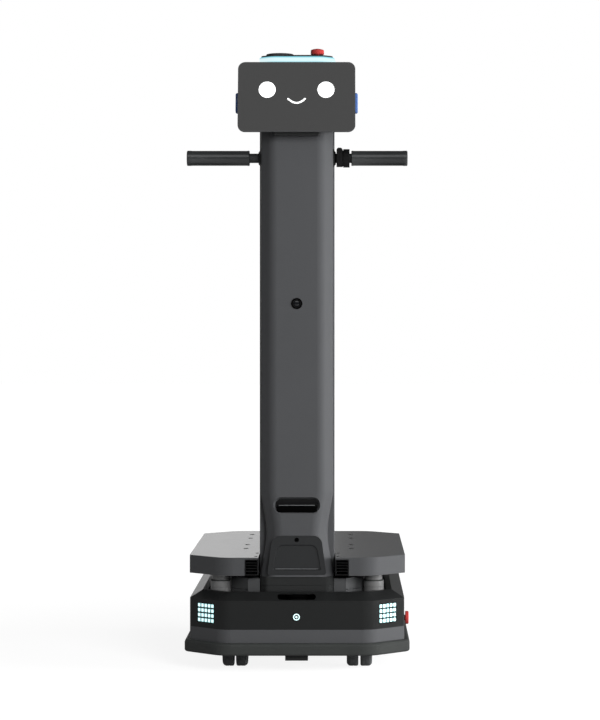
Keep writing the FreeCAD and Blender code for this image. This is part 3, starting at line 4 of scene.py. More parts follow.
import bmesh
import bpy
import numpy as np
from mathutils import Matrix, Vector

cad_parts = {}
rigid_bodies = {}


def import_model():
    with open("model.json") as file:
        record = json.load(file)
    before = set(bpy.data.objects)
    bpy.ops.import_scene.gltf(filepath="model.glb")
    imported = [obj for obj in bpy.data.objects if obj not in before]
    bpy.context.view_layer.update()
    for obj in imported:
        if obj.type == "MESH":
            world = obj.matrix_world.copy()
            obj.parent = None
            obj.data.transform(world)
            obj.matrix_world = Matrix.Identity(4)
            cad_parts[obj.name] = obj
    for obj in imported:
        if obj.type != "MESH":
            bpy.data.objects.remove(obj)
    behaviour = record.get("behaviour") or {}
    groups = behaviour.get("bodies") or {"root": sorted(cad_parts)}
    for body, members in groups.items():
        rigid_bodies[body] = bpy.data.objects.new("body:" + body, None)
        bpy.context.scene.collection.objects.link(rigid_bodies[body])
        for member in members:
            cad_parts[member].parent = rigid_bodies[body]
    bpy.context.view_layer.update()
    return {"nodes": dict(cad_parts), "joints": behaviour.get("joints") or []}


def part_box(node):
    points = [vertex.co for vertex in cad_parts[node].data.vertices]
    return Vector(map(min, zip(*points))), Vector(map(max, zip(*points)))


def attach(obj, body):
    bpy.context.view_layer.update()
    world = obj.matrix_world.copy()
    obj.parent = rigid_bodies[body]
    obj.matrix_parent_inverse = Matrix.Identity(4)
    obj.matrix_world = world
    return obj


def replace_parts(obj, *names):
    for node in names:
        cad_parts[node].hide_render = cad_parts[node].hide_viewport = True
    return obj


for leftover in list(bpy.data.objects):
    bpy.data.objects.remove(leftover)
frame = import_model()
nodes = frame["nodes"]


class Wire:
    # one socket; + - * / ** with wires or numbers each add a Math node
    def __init__(self, recipe, socket):
        self.recipe = recipe
        self.socket = socket

    def maths(self, kind, first, second=0.0):
        return self.recipe.node("ShaderNodeMath", {"operation": kind}, {0: first, 1: second})

    def __add__(self, other):
        return self.maths("ADD", self, other)

    def __radd__(self, other):
        return self.maths("ADD", other, self)

    def __sub__(self, other):
        return self.maths("SUBTRACT", self, other)

    def __rsub__(self, other):
        return self.maths("SUBTRACT", other, self)

    def __mul__(self, other):
        return self.maths("MULTIPLY", self, other)

    def __rmul__(self, other):
        return self.maths("MULTIPLY", other, self)

    def __truediv__(self, other):
        return self.maths("DIVIDE", self, other)

    def __pow__(self, other):
        return self.maths("POWER", self, other)

    def least(self, other):
        return self.maths("MINIMUM", self, other)

    def most(self, other):
        return self.maths("MAXIMUM", self, other)

    def size(self):
        return self.maths("ABSOLUTE", self)

    def above(self, limit, soft):
        # 0 below limit, 1 above limit + soft, a straight slope between
        return ((self - limit) / soft).most(0.0).least(1.0)


class Recipe:
    # a node tree being filled; node() is the only place that adds one
    def __init__(self, owner):
        self.owner, self.tree = owner, owner.node_tree
        self.tree.nodes.clear()

    def node(self, kind, settings=None, sockets=None, out=0):
        made = self.tree.nodes.new(kind)
        for key, value in (settings or {}).items():
            setattr(made, key, value)
        for key, value in (sockets or {}).items():
            if isinstance(value, Wire):
                self.tree.links.new(value.socket, made.inputs[key])
            else:
                made.inputs[key].default_value = value
        return Wire(self, made.outputs[out]) if len(made.outputs) else made

    def place(self):
        # Object coordinates, in metres
        return self.node("ShaderNodeTexCoord", out=3)

    def own(self):
        # the piece's own UV map
        return self.node("ShaderNodeTexCoord", out=2)

    def facing(self):
        # how far a face looks up: the z of its normal
        return self.parts(self.node("ShaderNodeNewGeometry", out=1))[2]

    def rays(self, *kinds):
        # for each kind of ray, such as Camera: 1 on its path and 0 on the others
        path = self.node("ShaderNodeLightPath").socket.node
        return [Wire(self, path.outputs["Is " + kind + " Ray"]) for kind in kinds]

    def stretched(self, where, scale, turn=(0.0, 0.0, 0.0)):
        return self.node("ShaderNodeMapping", None, {0: where, 2: turn, 3: scale})

    def clouds(self, where, scale, detail=3.0, rough=0.55):
        sockets = {"Vector": where, "Scale": scale, "Detail": detail, "Roughness": rough}
        return self.node("ShaderNodeTexNoise", None, sockets)

    def cells(self, where, scale, out=0):
        # distance to the nearest cell's heart, or with out=1 one colour for each cell
        sockets = {"Vector": where, "Scale": scale}
        return self.node("ShaderNodeTexVoronoi", None, sockets, out)

    def parts(self, where):
        split = self.node("ShaderNodeSeparateXYZ", None, {0: where}).socket.node
        return [Wire(self, split.outputs[i]) for i in range(3)]

    def blend(self, share, first, second):
        sockets = {0: share, 6: first, 7: second}
        return self.node("ShaderNodeMix", {"data_type": "RGBA"}, sockets, out=2)

    def mottled(self, share, colour, dark, light):
        # the colour x dark where share is 0, x light where it is 1
        return self.blend(share, tinted(colour, dark), tinted(colour, light))

    def relief(self, height, depth, strength):
        sockets = {"Height": height, "Distance": depth, "Strength": strength}
        return self.node("ShaderNodeBump", None, sockets)

    def close(self, sockets):
        skin = self.node("ShaderNodeBsdfPrincipled", None, sockets)
        self.node("ShaderNodeOutputMaterial", None, {0: skin})
        return self.owner


def shade(code):
    # "#rrggbb" as the linear colour that shows as that code
    parts = [int(code[i : i + 2], 16) / 255 for i in (1, 3, 5)]
    return (*[p / 12.92 if p <= 0.04045 else ((p + 0.055) / 1.055) ** 2.4 for p in parts], 1.0)


def tinted(colour, factor):
    return (*[min(1.0, c * factor) for c in colour[:3]], colour[3])


def newMaterial(name):
    # a material's recipe and its Object coordinates
    material = bpy.data.materials.new(name)
    material.use_nodes = True
    recipe = Recipe(material)
    return recipe, recipe.place()


# scales are in waves or cells for each metre, an edge is where a mask starts and how softly it
# rises, a tint is the darkest and the lightest factor on the colour
coatLook = {
    "peelScale": 620.0, "peelDepth": 0.00006, "peelStrength": 0.35, "cloudScale": 7.0,
    "cloudTint": 0.07,  # how far the clouds darken and lighten
    "cloudRough": 0.10, "fleckScale": 2400.0, "fleckEdge": (0.42, 0.12), "fleckShare": 0.16,
    "fleckTint": 1.6, "dustScale": 38.0, "dustEdge": (0.45, 0.3), "dustFacing": (0.6, 0.3),
    "dustShare": 0.06,  # how far dust lightens what faces up
    "dustRough": 0.08,
    "dustColour": "#B9B6AE",
}


def satinCoat(name, colour, roughness, grain=1.0, spec=0.5, wear=1.0):
    # colour = paint x (1 +- clouds) + dust where the face looks up; relief = fine orange peel
    look = coatLook
    recipe, where = newMaterial(name)
    peel = recipe.clouds(where, look["peelScale"], 2.0, 0.5)
    cloud = recipe.clouds(where, look["cloudScale"], 4.0)
    fleck = recipe.cells(where, look["fleckScale"]).above(*look["fleckEdge"])
    dust = recipe.facing().above(*look["dustFacing"])
    dust = dust * recipe.clouds(where, look["dustScale"], 6.0, 0.7).above(*look["dustEdge"])
    swing = look["cloudTint"] * wear
    paint = recipe.mottled(cloud, colour, 1 - swing, 1 + swing)
    fleckPaint = tinted(colour, look["fleckTint"])
    paint = recipe.blend(fleck * (look["fleckShare"] * grain), paint, fleckPaint)
    paint = recipe.blend(dust * (look["dustShare"] * wear), paint, shade(look["dustColour"]))
    rough = ((cloud - 0.5) * look["cloudRough"] + dust * look["dustRough"]) * wear
    return recipe.close({
        "Base Color": paint,
        "Roughness": roughness + rough,
        "Specular IOR Level": spec,
        "Normal": recipe.relief(peel, look["peelDepth"] * grain, look["peelStrength"]),
    })


shellLook = {
    "hair": ((900.0, 14.0, 30.0), (0.2, 0.1, 0.5)),  # scale and turn of scratches along y
    "hairEdge": (0.62, 0.06),
    "cross": ((16.0, 700.0, 24.0), (0.0, 0.3, 0.2)),  # and of those along x
    "crossEdge": (0.64, 0.05), "hairRough": 0.10, "cloudScale": 5.0, "cloudRough": 0.06,
    "tint": (0.94, 1.06), "coatRough": 0.08, "rippleScale": 55.0,
    "ripple": (0.00008, 0.2),  # depth and strength
}


def glossShell(name, colour, roughness, spec=0.5, coat=0.35):
    # smooth moulding: faint flow clouds, hairline scratches that only change the gloss
    look = shellLook
    recipe, where = newMaterial(name)
    hair = recipe.clouds(recipe.stretched(where, *look["hair"]), 1.0, 2.0)
    cross = recipe.clouds(recipe.stretched(where, *look["cross"]), 1.0, 2.0)
    hairs = hair.above(*look["hairEdge"]) * 0.5 + cross.above(*look["crossEdge"]) * 0.5
    cloud = recipe.clouds(where, look["cloudScale"], 3.0)
    rough = roughness + hairs * look["hairRough"] + (cloud - 0.5) * look["cloudRough"]
    ripple = recipe.clouds(where, look["rippleScale"], 1.0)
    return recipe.close({
        "Base Color": recipe.mottled(cloud, colour, *look["tint"]),
        "Roughness": rough,
        "Specular IOR Level": spec,
        "Coat Weight": coat,
        "Coat Roughness": look["coatRough"],
        "Normal": recipe.relief(ripple, *look["ripple"]),
    })


grainLook = {
    "coarseScale": 1500.0, "fineScale": 3150.0, "cloudScale": 12.0, "tint": (0.85, 1.15),
    "grainRough": 0.08,
    "grain": (0.00009, 0.5),  # depth and strength
}


def grainedPlastic(name, colour, roughness, spec=0.4):
    # spark-eroded mould grain: two sizes of cells, matt in the valleys
    look = grainLook
    recipe, where = newMaterial(name)
    coarse = recipe.cells(where, look["coarseScale"])
    fine = recipe.clouds(where, look["fineScale"], 3.0, 0.6)
    cloud = recipe.clouds(where, look["cloudScale"], 3.0)
    return recipe.close({
        "Base Color": recipe.mottled(cloud * 0.6 + fine * 0.4, colour, *look["tint"]),
        "Roughness": roughness + (0.5 - coarse) * look["grainRough"],
        "Specular IOR Level": spec,
        "Normal": recipe.relief(coarse * 0.6 + fine * 0.4, *look["grain"]),
    })


rubberLook = {
    "poreScale": 1900.0,
    "pores": (0.00010, 0.45),  # depth and strength
    "bloomScale": 22.0, "bloomRough": 0.12, "tint": (0.85, 1.2),
    "scuffScale": (60.0, 60.0, 240.0), "scuffEdge": (0.58, 0.12),
    "scuffColour": "#6B6A66",
}


def softRubber(name, colour, roughness, worn=0.0, spec=0.35):
    # rubber: tiny pores, a bloom of grey in clouds, scuffs where worn is set
    look = rubberLook
    recipe, where = newMaterial(name)
    pores = recipe.cells(where, look["poreScale"])
    bloom = recipe.clouds(where, look["bloomScale"], 5.0, 0.65)
    scuff = recipe.clouds(recipe.stretched(where, look["scuffScale"]), 1.0, 5.0, 0.7)
    scuff = scuff.above(*look["scuffEdge"])
    paint = recipe.mottled(bloom, colour, *look["tint"])
    return recipe.close({
        "Base Color": recipe.blend(scuff * worn, paint, shade(look["scuffColour"])),
        "Roughness": roughness + (bloom - 0.5) * look["bloomRough"],
        "Specular IOR Level": spec,
        "Normal": recipe.relief(pores, *look["pores"]),
    })


metalLook = {
    "stainScale": 14.0, "stainRough": 0.08, "lineRough": 0.22, "tint": (0.86, 1.08),
    "lines": (0.00004, 0.35),  # depth and strength
}


def brushedMetal(name, colour, roughness, grainScale, metal=1.0):
    # metal with brush lines: noise drawn out along the axis with the smallest scale
    look = metalLook
    recipe, where = newMaterial(name)
    lines = recipe.clouds(recipe.stretched(where, grainScale), 1.0, 4.0, 0.6)
    stain = recipe.clouds(where, look["stainScale"], 4.0)
    rough = roughness + (lines - 0.5) * look["lineRough"]
    return recipe.close({
        "Base Color": recipe.mottled(lines * 0.5 + stain * 0.5, colour, *look["tint"]),
        "Metallic": metal,
        "Roughness": rough + (stain - 0.5) * look["stainRough"],
        "Normal": recipe.relief(lines, *look["lines"]),
    })


zincLook = {
    "spangleScale": 120.0, "spangleRough": 0.15, "cloudScale": 40.0, "tint": (0.8, 1.15),
    "metal": 0.85,
    "clouds": (0.00005, 0.3),  # depth and strength
}


def galvanised(name, colour, roughness):
    # zinc spangle: cells of slightly different grey
    look = zincLook
    recipe, where = newMaterial(name)
    spangle = recipe.cells(where, look["spangleScale"], out=1)
    grey = recipe.node("ShaderNodeRGBToBW", None, {0: spangle})
    cloud = recipe.clouds(where, look["cloudScale"], 4.0)
    return recipe.close({
        "Base Color": recipe.mottled(grey * 0.6 + cloud * 0.4, colour, *look["tint"]),
        "Metallic": look["metal"],
        "Roughness": roughness + (grey - 0.5) * look["spangleRough"],
        "Normal": recipe.relief(cloud, *look["clouds"]),
    })


glowLook = {
    "rimEdge": (0.55, 0.42), "mottleScale": 300.0, "mottleShare": 0.25,
    "mottleColour": "#E8FBFB",
}


def glowing(name, core, roughness, rim, strength, body="#BFE9EC"):
    # milky diffuser, brightest in the middle of each cell: reach = max(|2x - 1|, |2y - 1|)
    look = glowLook
    recipe, where = newMaterial(name)
    across, up, _ = recipe.parts(recipe.own())
    reach = ((across - 0.5).size() * 2.0).most((up - 0.5).size() * 2.0)
    edge = reach.above(*look["rimEdge"])
    mottle = recipe.clouds(where, look["mottleScale"], 2.0) * look["mottleShare"]
    return recipe.close({
        "Base Color": recipe.blend(mottle, shade(body), shade(look["mottleColour"])),
        "Roughness": roughness,
        "Emission Color": recipe.blend(edge, core, shade(rim)),
        "Emission Strength": strength,
    })


screenLook = {
    "rowScale": (4200.0, 1.0, 60.0),
    "rowColours": ("#232323", "#2B2B2B"),
    "rowRough": 0.05, "grainScale": 2600.0,
    "grain": (0.00002, 0.3),  # depth and strength
}


def screenGlass(name, colour, roughness, strength, spec):
    # lit display under anti-glare glass: an even grey glow with faint rows
    look = screenLook
    recipe, where = newMaterial(name)
    rows = recipe.clouds(recipe.stretched(where, look["rowScale"]), 1.0, 1.0)
    grain = recipe.clouds(where, look["grainScale"], 1.0)
    return recipe.close({
        "Base Color": recipe.blend(rows, *[shade(code) for code in look["rowColours"]]),
        "Roughness": roughness + (rows - 0.5) * look["rowRough"],
        "Emission Color": colour,
        "Emission Strength": strength,
        "Specular IOR Level": spec,
        "Normal": recipe.relief(grain, *look["grain"]),
    })


bandLook = {
    "mottleScale": 160.0, "mottleRough": 0.06,
    "footEdge": (0.04, 0.30),  # shares of the ring's height
    "topEdge": (0.72, 0.26),
    "bodyColours": ("#245258", "#2C5E64"),
}


def lightBand(name, colour, roughness, rim, strength, spec):
    # the crown's ring: nearly white in the middle of its height, teal towards both edges
    look = bandLook
    recipe, where = newMaterial(name)
    low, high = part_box("light_ring")
    rise = (recipe.parts(where)[2] - low.z) / (high.z - low.z)
    mottle = recipe.clouds(where, look["mottleScale"], 2.0)
    core = rise.above(*look["footEdge"]) * (1 - rise.above(*look["topEdge"]))
    return recipe.close({
        "Base Color": recipe.blend(mottle, *[shade(code) for code in look["bodyColours"]]),
        "Roughness": roughness + mottle * look["mottleRough"],
        "Specular IOR Level": spec,
        "Emission Color": recipe.blend(core, shade(rim), colour),
        "Emission Strength": strength,
    })


fineBrush, longBrush = (30.0, 30.0, 900.0), (12.0, 12.0, 700.0)
alongSleeve, acrossPad = (40.0, 40.0, 700.0), (300.0, 300.0, 40.0)
finishes = {  # maker, colour, roughness and what else the maker takes
    "columnCoat": (satinCoat, "#4C4D4F", 0.52, {}),
    "headCoat": (satinCoat, "#454647", 0.45, {}),
    "footCoat": (satinCoat, "#2A2B2C", 0.42, {"spec": 0.4}),
    "deckCoat": (satinCoat, "#4A4B4D", 0.20, {"grain": 0.6, "wear": 0.15}),
    "skirtCoat": (satinCoat, "#4D4E50", 0.45, {}),
    "blackGloss": (glossShell, "#202121", 0.34, {"spec": 0.3, "coat": 0.1}),
    "capCoat": (satinCoat, "#353637", 0.5, {"grain": 0.6, "spec": 0.3}),
    "voidBlack": (grainedPlastic, "#050505", 0.9, {"spec": 0.04}),
    "blackGrain": (grainedPlastic, "#272828", 0.55, {}),
    "blackDeep": (grainedPlastic, "#0C0C0D", 0.6, {}),
    "bumperRubber": (softRubber, "#3A3C3B", 0.62, {"worn": 0.10}),
    "gripRubber": (softRubber, "#292B2C", 0.30, {"spec": 1.0}),
    "treadRubber": (softRubber, "#686A6B", 0.6, {"worn": 0.25}),
    "plateCoat": (satinCoat, "#2B2C2D", 0.5, {}),
    "groundSteel": (brushedMetal, "#B9B9B8", 0.26, {"grainScale": fineBrush}),
    "alloySatin": (brushedMetal, "#B4B5B5", 0.4, {"grainScale": longBrush}),
    "alloyDark": (galvanised, "#5E5F60", 0.45, {}),
    "housingSatin": (satinCoat, "#474849", 0.42, {}),
    "buttonRed": (glossShell, "#B43A38", 0.42, {"spec": 0.35, "coat": 0.0}),
    "buttonBlue": (grainedPlastic, "#4C6CA9", 0.42, {}),
    "brass": (brushedMetal, "#C9A253", 0.3, {"grainScale": acrossPad}),
    "screenGlass": (screenGlass, "#474747", 0.42, {"strength": 0.55, "spec": 0.25}),
    "lightBand": (lightBand, "#E3F8FB", 0.4, {"rim": "#5FC0D2", "strength": 0.94, "spec": 0.3}),
    "lampCell": (glowing, "#F2FFFF", 0.35, {"rim": "#8FD8DC", "strength": 0.95}),
    "lampPlain": (glowing, "#DFFCFC", 0.35, {"rim": "#DFFCFC", "strength": 0.95}),
    "faceLight": (glowing, "#FFFFFF", 0.35, {"rim": "#FFFFFF", "strength": 0.9, "body": "#FFFFFF"}),
    "sleeveAlloy": (brushedMetal, "#8C8C8C", 0.44, {"grainScale": alongSleeve, "metal": 0.55}),
    # a pale coat for thin beads that are painted highlights, where lit edges of recesses show
    "edgeCoat": (satinCoat, "#8A8C8E", 0.35, {}),
    "lensGlass": (glossShell, "#0B0D12", 0.06, {}),
}
materials = {}
for name, (make, code, roughness, facts) in finishes.items():
    materials[name] = make(name, shade(code), roughness, **facts)

nodeFinish = {
    "columnCoat": "column_front_cover column_rear_shell",
    "headCoat": "head_shell head_bezel",
    "footCoat": "foot_panel foot_hatch",
    "deckCoat": "deck_plate",
    "skirtCoat": "lower_skirt",
    "blackGloss": "upper_shell",
    "capCoat": "crown_cap",
    "blackGrain": "rear_panel handle_flanges head_neck column_plinth charge_contacts",
    "blackDeep": "corner_light_panels deck_vents slot_camera round_camera switch_clamp thumb_lever",
    "voidBlack": "front_lidar",
    "bumperRubber": "bumper lift_wipers",
    "gripRubber": "handle_grips",
    "treadRubber": "left_drive_tyre right_drive_tyre",
    "plateCoat": "chassis_plate column_spine handle_bar top_plate",
    "groundSteel": "lift_sleeves lift_rams",
    "alloySatin": "power_button battery_pack left_drive_hub right_drive_hub",
    "alloyDark": "belly_pan control_boxes caster_plates left_drive_arm right_drive_arm",
    "housingSatin": "lift_housing housing_cheeks",
    "buttonRed": "head_stop_button side_stop_button",
    "buttonBlue": "left_ear_button right_ear_button",
    "screenGlass": "screen_glass",
    "lightBand": "light_ring",
    "lampCell": "status_light corner_light_cells",
}
casterNames = ["front_left", "front_right", "rear_left", "rear_right"]


def paintNode(name, finish):
    skins = nodes[name].data.materials
    skins.clear()
    skins.append(materials[finish])


for finish, names in nodeFinish.items():
    for name in names.split():
        paintNode(name, finish)
for name in casterNames:
    paintNode(name + "_caster_frame", "blackGrain")
    paintNode(name + "_caster_wheels", "treadRubber")
print("finishes:", len(materials))

# directions that the pieces are laid out in
right, ahead, behind, upward, downward = (1, 0, 0), (0, -1, 0), (0, 1, 0), (0, 0, 1), (0, 0, -1)


def makePiece(name, patches, finish, body, slotName, crease=35.0):
    # a patch is a grid of points (rows, columns, 3) and a grid of own coordinates or None;
    # each becomes a sheet of quads, touching rows are merged, then normals turn outwards
    cells, places, owns, start = [], [], [], 0
    for points, uvs in patches:
        rows, columns = points.shape[:2]
        index = start + np.arange(rows * columns).reshape(rows, columns)
        corners = [index[:-1, :-1], index[1:, :-1], index[1:, 1:], index[:-1, 1:]]
        cells.append(np.stack(corners, axis=-1).reshape(-1, 4))
        places.append(points.reshape(-1, 3))
        owns.append(np.zeros((rows * columns, 2)) if uvs is None else uvs.reshape(-1, 2))
        start += rows * columns
    cells, places, owns = np.concatenate(cells), np.concatenate(places), np.concatenate(owns)
    mesh = bpy.data.meshes.new(name)
    mesh.from_pydata(places.tolist(), [], cells.tolist())
    layer = mesh.uv_layers.new(name="own")
    layer.data.foreach_set("uv", owns[cells.ravel()].astype(np.float32).ravel())
    shape = bmesh.new()
    shape.from_mesh(mesh)
    bmesh.ops.remove_doubles(shape, verts=shape.verts, dist=2e-6)
    bmesh.ops.recalc_face_normals(shape, faces=shape.faces)
    shape.to_mesh(mesh)
    shape.free()
    mesh.shade_smooth()
    mesh.set_sharp_from_angle(angle=math.radians(crease))
    mesh.materials.append(materials[finish])
    piece = bpy.data.objects.new(name, mesh)
    bpy.context.scene.collection.objects.link(piece)
    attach(piece, body)
    return piece


def axesFor(way):
    # two directions square to way, for turning and for laying out a face
    way = np.array(way, float)
    way /= np.linalg.norm(way)
    side = np.cross((0.0, 0.0, 1.0), way)
    if np.linalg.norm(side) < 1e-6:
        side = np.array((1.0, 0.0, 0.0))
    side /= np.linalg.norm(side)
    return way, side, np.cross(way, side)


def turned(profile, centre, way, segments=72, wave=None):
    # point(h, t) = centre + way x height(h) + radius(h) x (side cos t + up sin t);
    # wave(t, h) scales the radius
    way, side, up = axesFor(way)
    profile = np.array(profile, float)
    angle = np.linspace(0.0, 2 * math.pi, segments + 1)
    radius = np.repeat(profile[:, :1], segments + 1, axis=1)
    if wave is not None:
        radius = radius * wave(angle[None, :], profile[:, 1:2])
    ring = np.cos(angle)[None, :, None] * side + np.sin(angle)[None, :, None] * up
    rise = profile[:, 1][:, None, None] * way
    return np.array(centre) + radius[..., None] * ring + rise, None


def arcPoints(centreR, centreH, size, start, stop, count):
    # profile points on an arc, angles in degrees from the +radius direction
    angle = np.radians(np.linspace(start, stop, count))
    return [(centreR + size * c, centreH + size * s) for c, s in zip(np.cos(angle), np.sin(angle))]


def pillow(centre, axes, halfWide, halfHigh, proud, crown, power, rings=5, segments=24):
    # superellipse |x/a|^n + |y/b|^n = r^n drawn in from rim to middle, on a straight wall;
    # height = proud + crown (1 - r^2)
    side, up, way = [np.array(axis) for axis in axes]
    angle = np.linspace(0.0, 2 * math.pi, segments + 1)
    c, s = np.cos(angle), np.sin(angle)
    share = np.concatenate([[1.0], np.linspace(1.0, 0.0, rings)])[:, None]
    x = share * (np.sign(c) * np.abs(c) ** (2 / power))
    y = share * (np.sign(s) * np.abs(s) ** (2 / power))
    rise = proud + crown * (1 - share**2)
    rise[0] = 0.0
    face = (x * halfWide)[..., None] * side + (y * halfHigh)[..., None] * up
    points = np.array(centre) + face + rise[..., None] * way
    return points, np.stack([x * 0.5 + 0.5, y * 0.5 + 0.5], axis=-1)


tipShare = 0.004  # of a bar's length, for each rounded end


def bar(start, end, halfWide, halfTall, side, up, segments=12):
    # an ellipse carried from start to end; size = sqrt(1 - (1 - s)^2) over each rounded end
    start, end = np.array(start, float), np.array(end, float)
    tip = np.linspace(0, 1, 6) ** 2 * tipShare
    along = np.concatenate([tip, 1 - tip[-2::-1]])
    angle = np.linspace(0, 2 * math.pi, segments + 1)
    inward = np.minimum(along, 1 - along) / tipShare
    size = np.sqrt(np.clip(1 - (1 - inward) ** 2, 0, 1))
    centre = start[None, :] + along[:, None] * (end - start)[None, :]
    ring = np.cos(angle)[:, None] * np.array(side) * halfWide
    ring = ring + np.sin(angle)[:, None] * np.array(up) * halfTall
    return centre[:, None, :] + size[:, None, None] * ring[None, :, :], None


def middle(node):
    low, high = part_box(node)
    return (low + high) / 2


def mirrored(aside, rows):
    # the same row of places on the left and on the right
    return [(side * aside, row) for side in (-1, 1) for row in rows]


def spread(count, pitch):
    # count places at one pitch, evenly about the middle
    return (np.arange(count) - (count - 1) / 2) * pitch


headShape = {  # shares of a head's radius or height
    "socket": 0.46,
    "lip": 1.03,  # of the socket
    "radii": (0.78, 0.97),
    "button": (0.25, 0.86, 0.42),  # heights of socket floor, dome and brow
    "flush": (-1.0, 1.0, 0.9),
}


def screwHeads(places, radius, height, flush=False, segments=18):
    # socket(t) = a / cos(t mod 60 - 30), which is six-sided, then the face and a short rim
    angle = np.linspace(0.0, 2 * math.pi, segments + 1)
    hexagon = np.cos((angle % (math.pi / 3)) - math.pi / 6)
    socket = headShape["socket"] * radius / hexagon
    inner, outer = [radius * share * np.ones_like(angle) for share in headShape["radii"]]
    floor, dome, brow = headShape["flush" if flush else "button"]
    rings = [(0 * angle, floor), (socket, floor), (socket * headShape["lip"], 1.0)]
    rings += [(inner, dome), (outer, brow), (radius * np.ones_like(angle), 0.0)]
    heads = []
    for centre, way in places:
        way, side, up = axesFor(way)
        flat = np.cos(angle)[:, None] * side + np.sin(angle)[:, None] * up
        rows = [np.array(centre) + r[:, None] * flat + h * height * way for r, h in rings]
        heads.append((np.stack(rows), None))
    return heads


casterLook = {
    "gap": 0.0046,  # between the two wheels
    "crown": 0.009,  # rounding at the tread's outer edge
    "innerRound": 0.004,
    "rim": 0.62,  # where the tread ends, as a share of the radius
    "rimEdge": 0.001, "groove": 0.0006, "grooveHalf": 0.0008, "axle": 0.005,
    "dish": 0.0045,  # how far the hub lies behind the tyre's face
    "cap": 0.26,  # the hub's cap and its foot, as shares of the radius
    "capFoot": 0.28, "capEdge": 0.0012, "capBack": 0.0016, "bolts": 5, "boltCircle": 0.44,
    "boltHead": (0.0021, 0.0012),  # radius and height
}


def treadProfile(radius, width):
    # from the inner face over the tread and its groove, and round the full shoulder to the rim
    look = casterLook
    crown, inner, half = look["crown"], look["innerRound"], look["grooveHalf"]
    rim, floor = radius * look["rim"], radius - look["groove"]
    belt = (inner + width - crown) / 2
    line = [(rim, 0.0)] + arcPoints(radius - inner, inner, inner, -90, 0, 6)
    line += [(radius, belt - half), (floor, belt - half / 2)]
    line += [(floor, belt + half / 2), (radius, belt + half)]
    line += arcPoints(radius - crown, width - crown, crown, 0, 90, 11)
    return line + [(rim + look["rimEdge"], width), (rim, width - look["rimEdge"])]


def hubProfile(radius, width):
    # dished hub with a cap in the middle
    look = casterLook
    rim, edge, dish = radius * look["rim"], look["rimEdge"], width - look["dish"]
    cap, soft, back = radius * look["cap"], look["capEdge"], width - look["capBack"]
    line = [(look["axle"], 0.0), (rim, 0.3 * edge), (rim, width - 1.2 * edge)]
    line += [(rim - edge, width - edge), (rim - 2.2 * edge, dish)]
    line += [(radius * look["capFoot"], dish), (cap, back)]
    return line + arcPoints(cap - soft, back, soft, 0, 90, 4) + [(0.0, width - 0.2 * edge)]


def casterWheels(name):
    # two turned tyres and hubs on one axle, with a circle of bolts on each hub
    look = casterLook
    node = name + "_caster_wheels"
    low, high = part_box(node)
    centre, radius = np.array((low + high) / 2), (high.z - low.z) / 2
    width = (high.x - low.x) / 2 - look["gap"] / 2
    treads, hubs, bolts = [], [], []
    for side in (-1, 1):
        way = (side, 0, 0)
        start = centre + np.array((side * look["gap"] / 2, 0, 0))
        treads.append(turned(treadProfile(radius, width), start, way, 84))
        hubs.append(turned(hubProfile(radius, width), start, way, 60))
        face = start + np.array((side * (width - look["dish"]), 0, 0))
        for i in range(look["bolts"]):
            angle = 2 * math.pi * i / look["bolts"]
            ring = np.array((0, math.cos(angle), math.sin(angle))) * radius * look["boltCircle"]
            bolts.append((face + ring, way))
    heads = screwHeads(bolts, *look["boltHead"])
    body = name + "_wheels"
    tread = makePiece(name + "_caster_treads", treads, "treadRubber", body, "tyre_rubber")
    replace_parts(tread, node)
    makePiece(name + "_caster_hubs", hubs, "blackGrain", body, "tyre_rubber")
    makePiece(name + "_caster_hub_bolts", heads, "groundSteel", body, "ground_steel")


bushLook = {
    "aside": 0.121,
    "shares": (-0.3619, -0.0858, 0.4048, 0.7078),  # of the deck's half length
    "bore": 0.0033, "flange": 0.006, "proud": 0.0004, "depth": 0.004,
}


def rackInserts():
    # flanged bushes in the deck's threaded holes
    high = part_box("deck_plate")[1]
    bore, flange, proud = bushLook["bore"], bushLook["flange"], bushLook["proud"]
    line = [(bore, -bushLook["depth"]), (bore, 0.0), (bore + 0.0003, proud)]
    line += [(flange - proud, proud), (flange, 0.0), (flange, -0.0005)]
    holes = mirrored(bushLook["aside"], [share * high.y for share in bushLook["shares"]])
    bushes = [turned(line, (x, y, high.z), upward, 30) for x, y in holes]
    makePiece("rack_bushes", bushes, "alloyDark", "deck", "alloy_dark")


steelHeads = ("groundSteel", "base", "ground_steel")
darkHeads, deckHeads = ("plateCoat", "base", "steel_frame"), ("plateCoat", "deck", "black_trim")
screwRows = {
    # cover, the way it faces, inset from its sides, distances of the row from its ends, number
    # of heads in the row, a head's radius, height and whether it is flush, then its looks
    "vent_screws": (
        "deck_plate", upward, 0.1495, (0.032, 0.630), 2, (0.0036, 0.0005, True), deckHeads
    ),
    "column_screws": (
        "column_rear_shell", behind, 0.023, (0.045, 0.045), 6, (0.0038, 0.0018), darkHeads
    ),
    "rear_panel_screws": ("rear_panel", behind, 0.008, (0.008, 0.008), 2, (0.0030, 0.0014)),
    "housing_screws": ("lift_housing", upward, 0.012, (0.14, 0.02), 6, (0.0034, 0.0016)),
    "top_plate_screws": ("top_plate", upward, 0.024, (0.1535, 0.1535), 5, (0.0040, 0.0018)),
}
bellyRow = ("belly_pan", downward, 0.165, (0.0625, 0.0625), 5, (0.0042, 0.0018))
boltLook = {"half": 0.026, "sunk": 0.003, "head": (0.0055, 0.0030)}  # half of the bolts' pitch


def screwRow(name, cover, way, inset, ends, count, head, facts=steelHeads):
    # evenly spaced heads along both sides of a cover, on the face that looks the given way
    low, high = [np.array(corner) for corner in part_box(cover)]
    along = 2 if way == behind else 1
    places = []
    rows = np.linspace(low[along] + ends[0], high[along] - ends[1], count)
    for x, row in mirrored(high[0] - inset, rows):
        place = np.where(np.array(way) > 0, high, low)
        place[0], place[along] = x, row
        places.append((place, way))
    makePiece(name, screwHeads(places, *head), *facts)


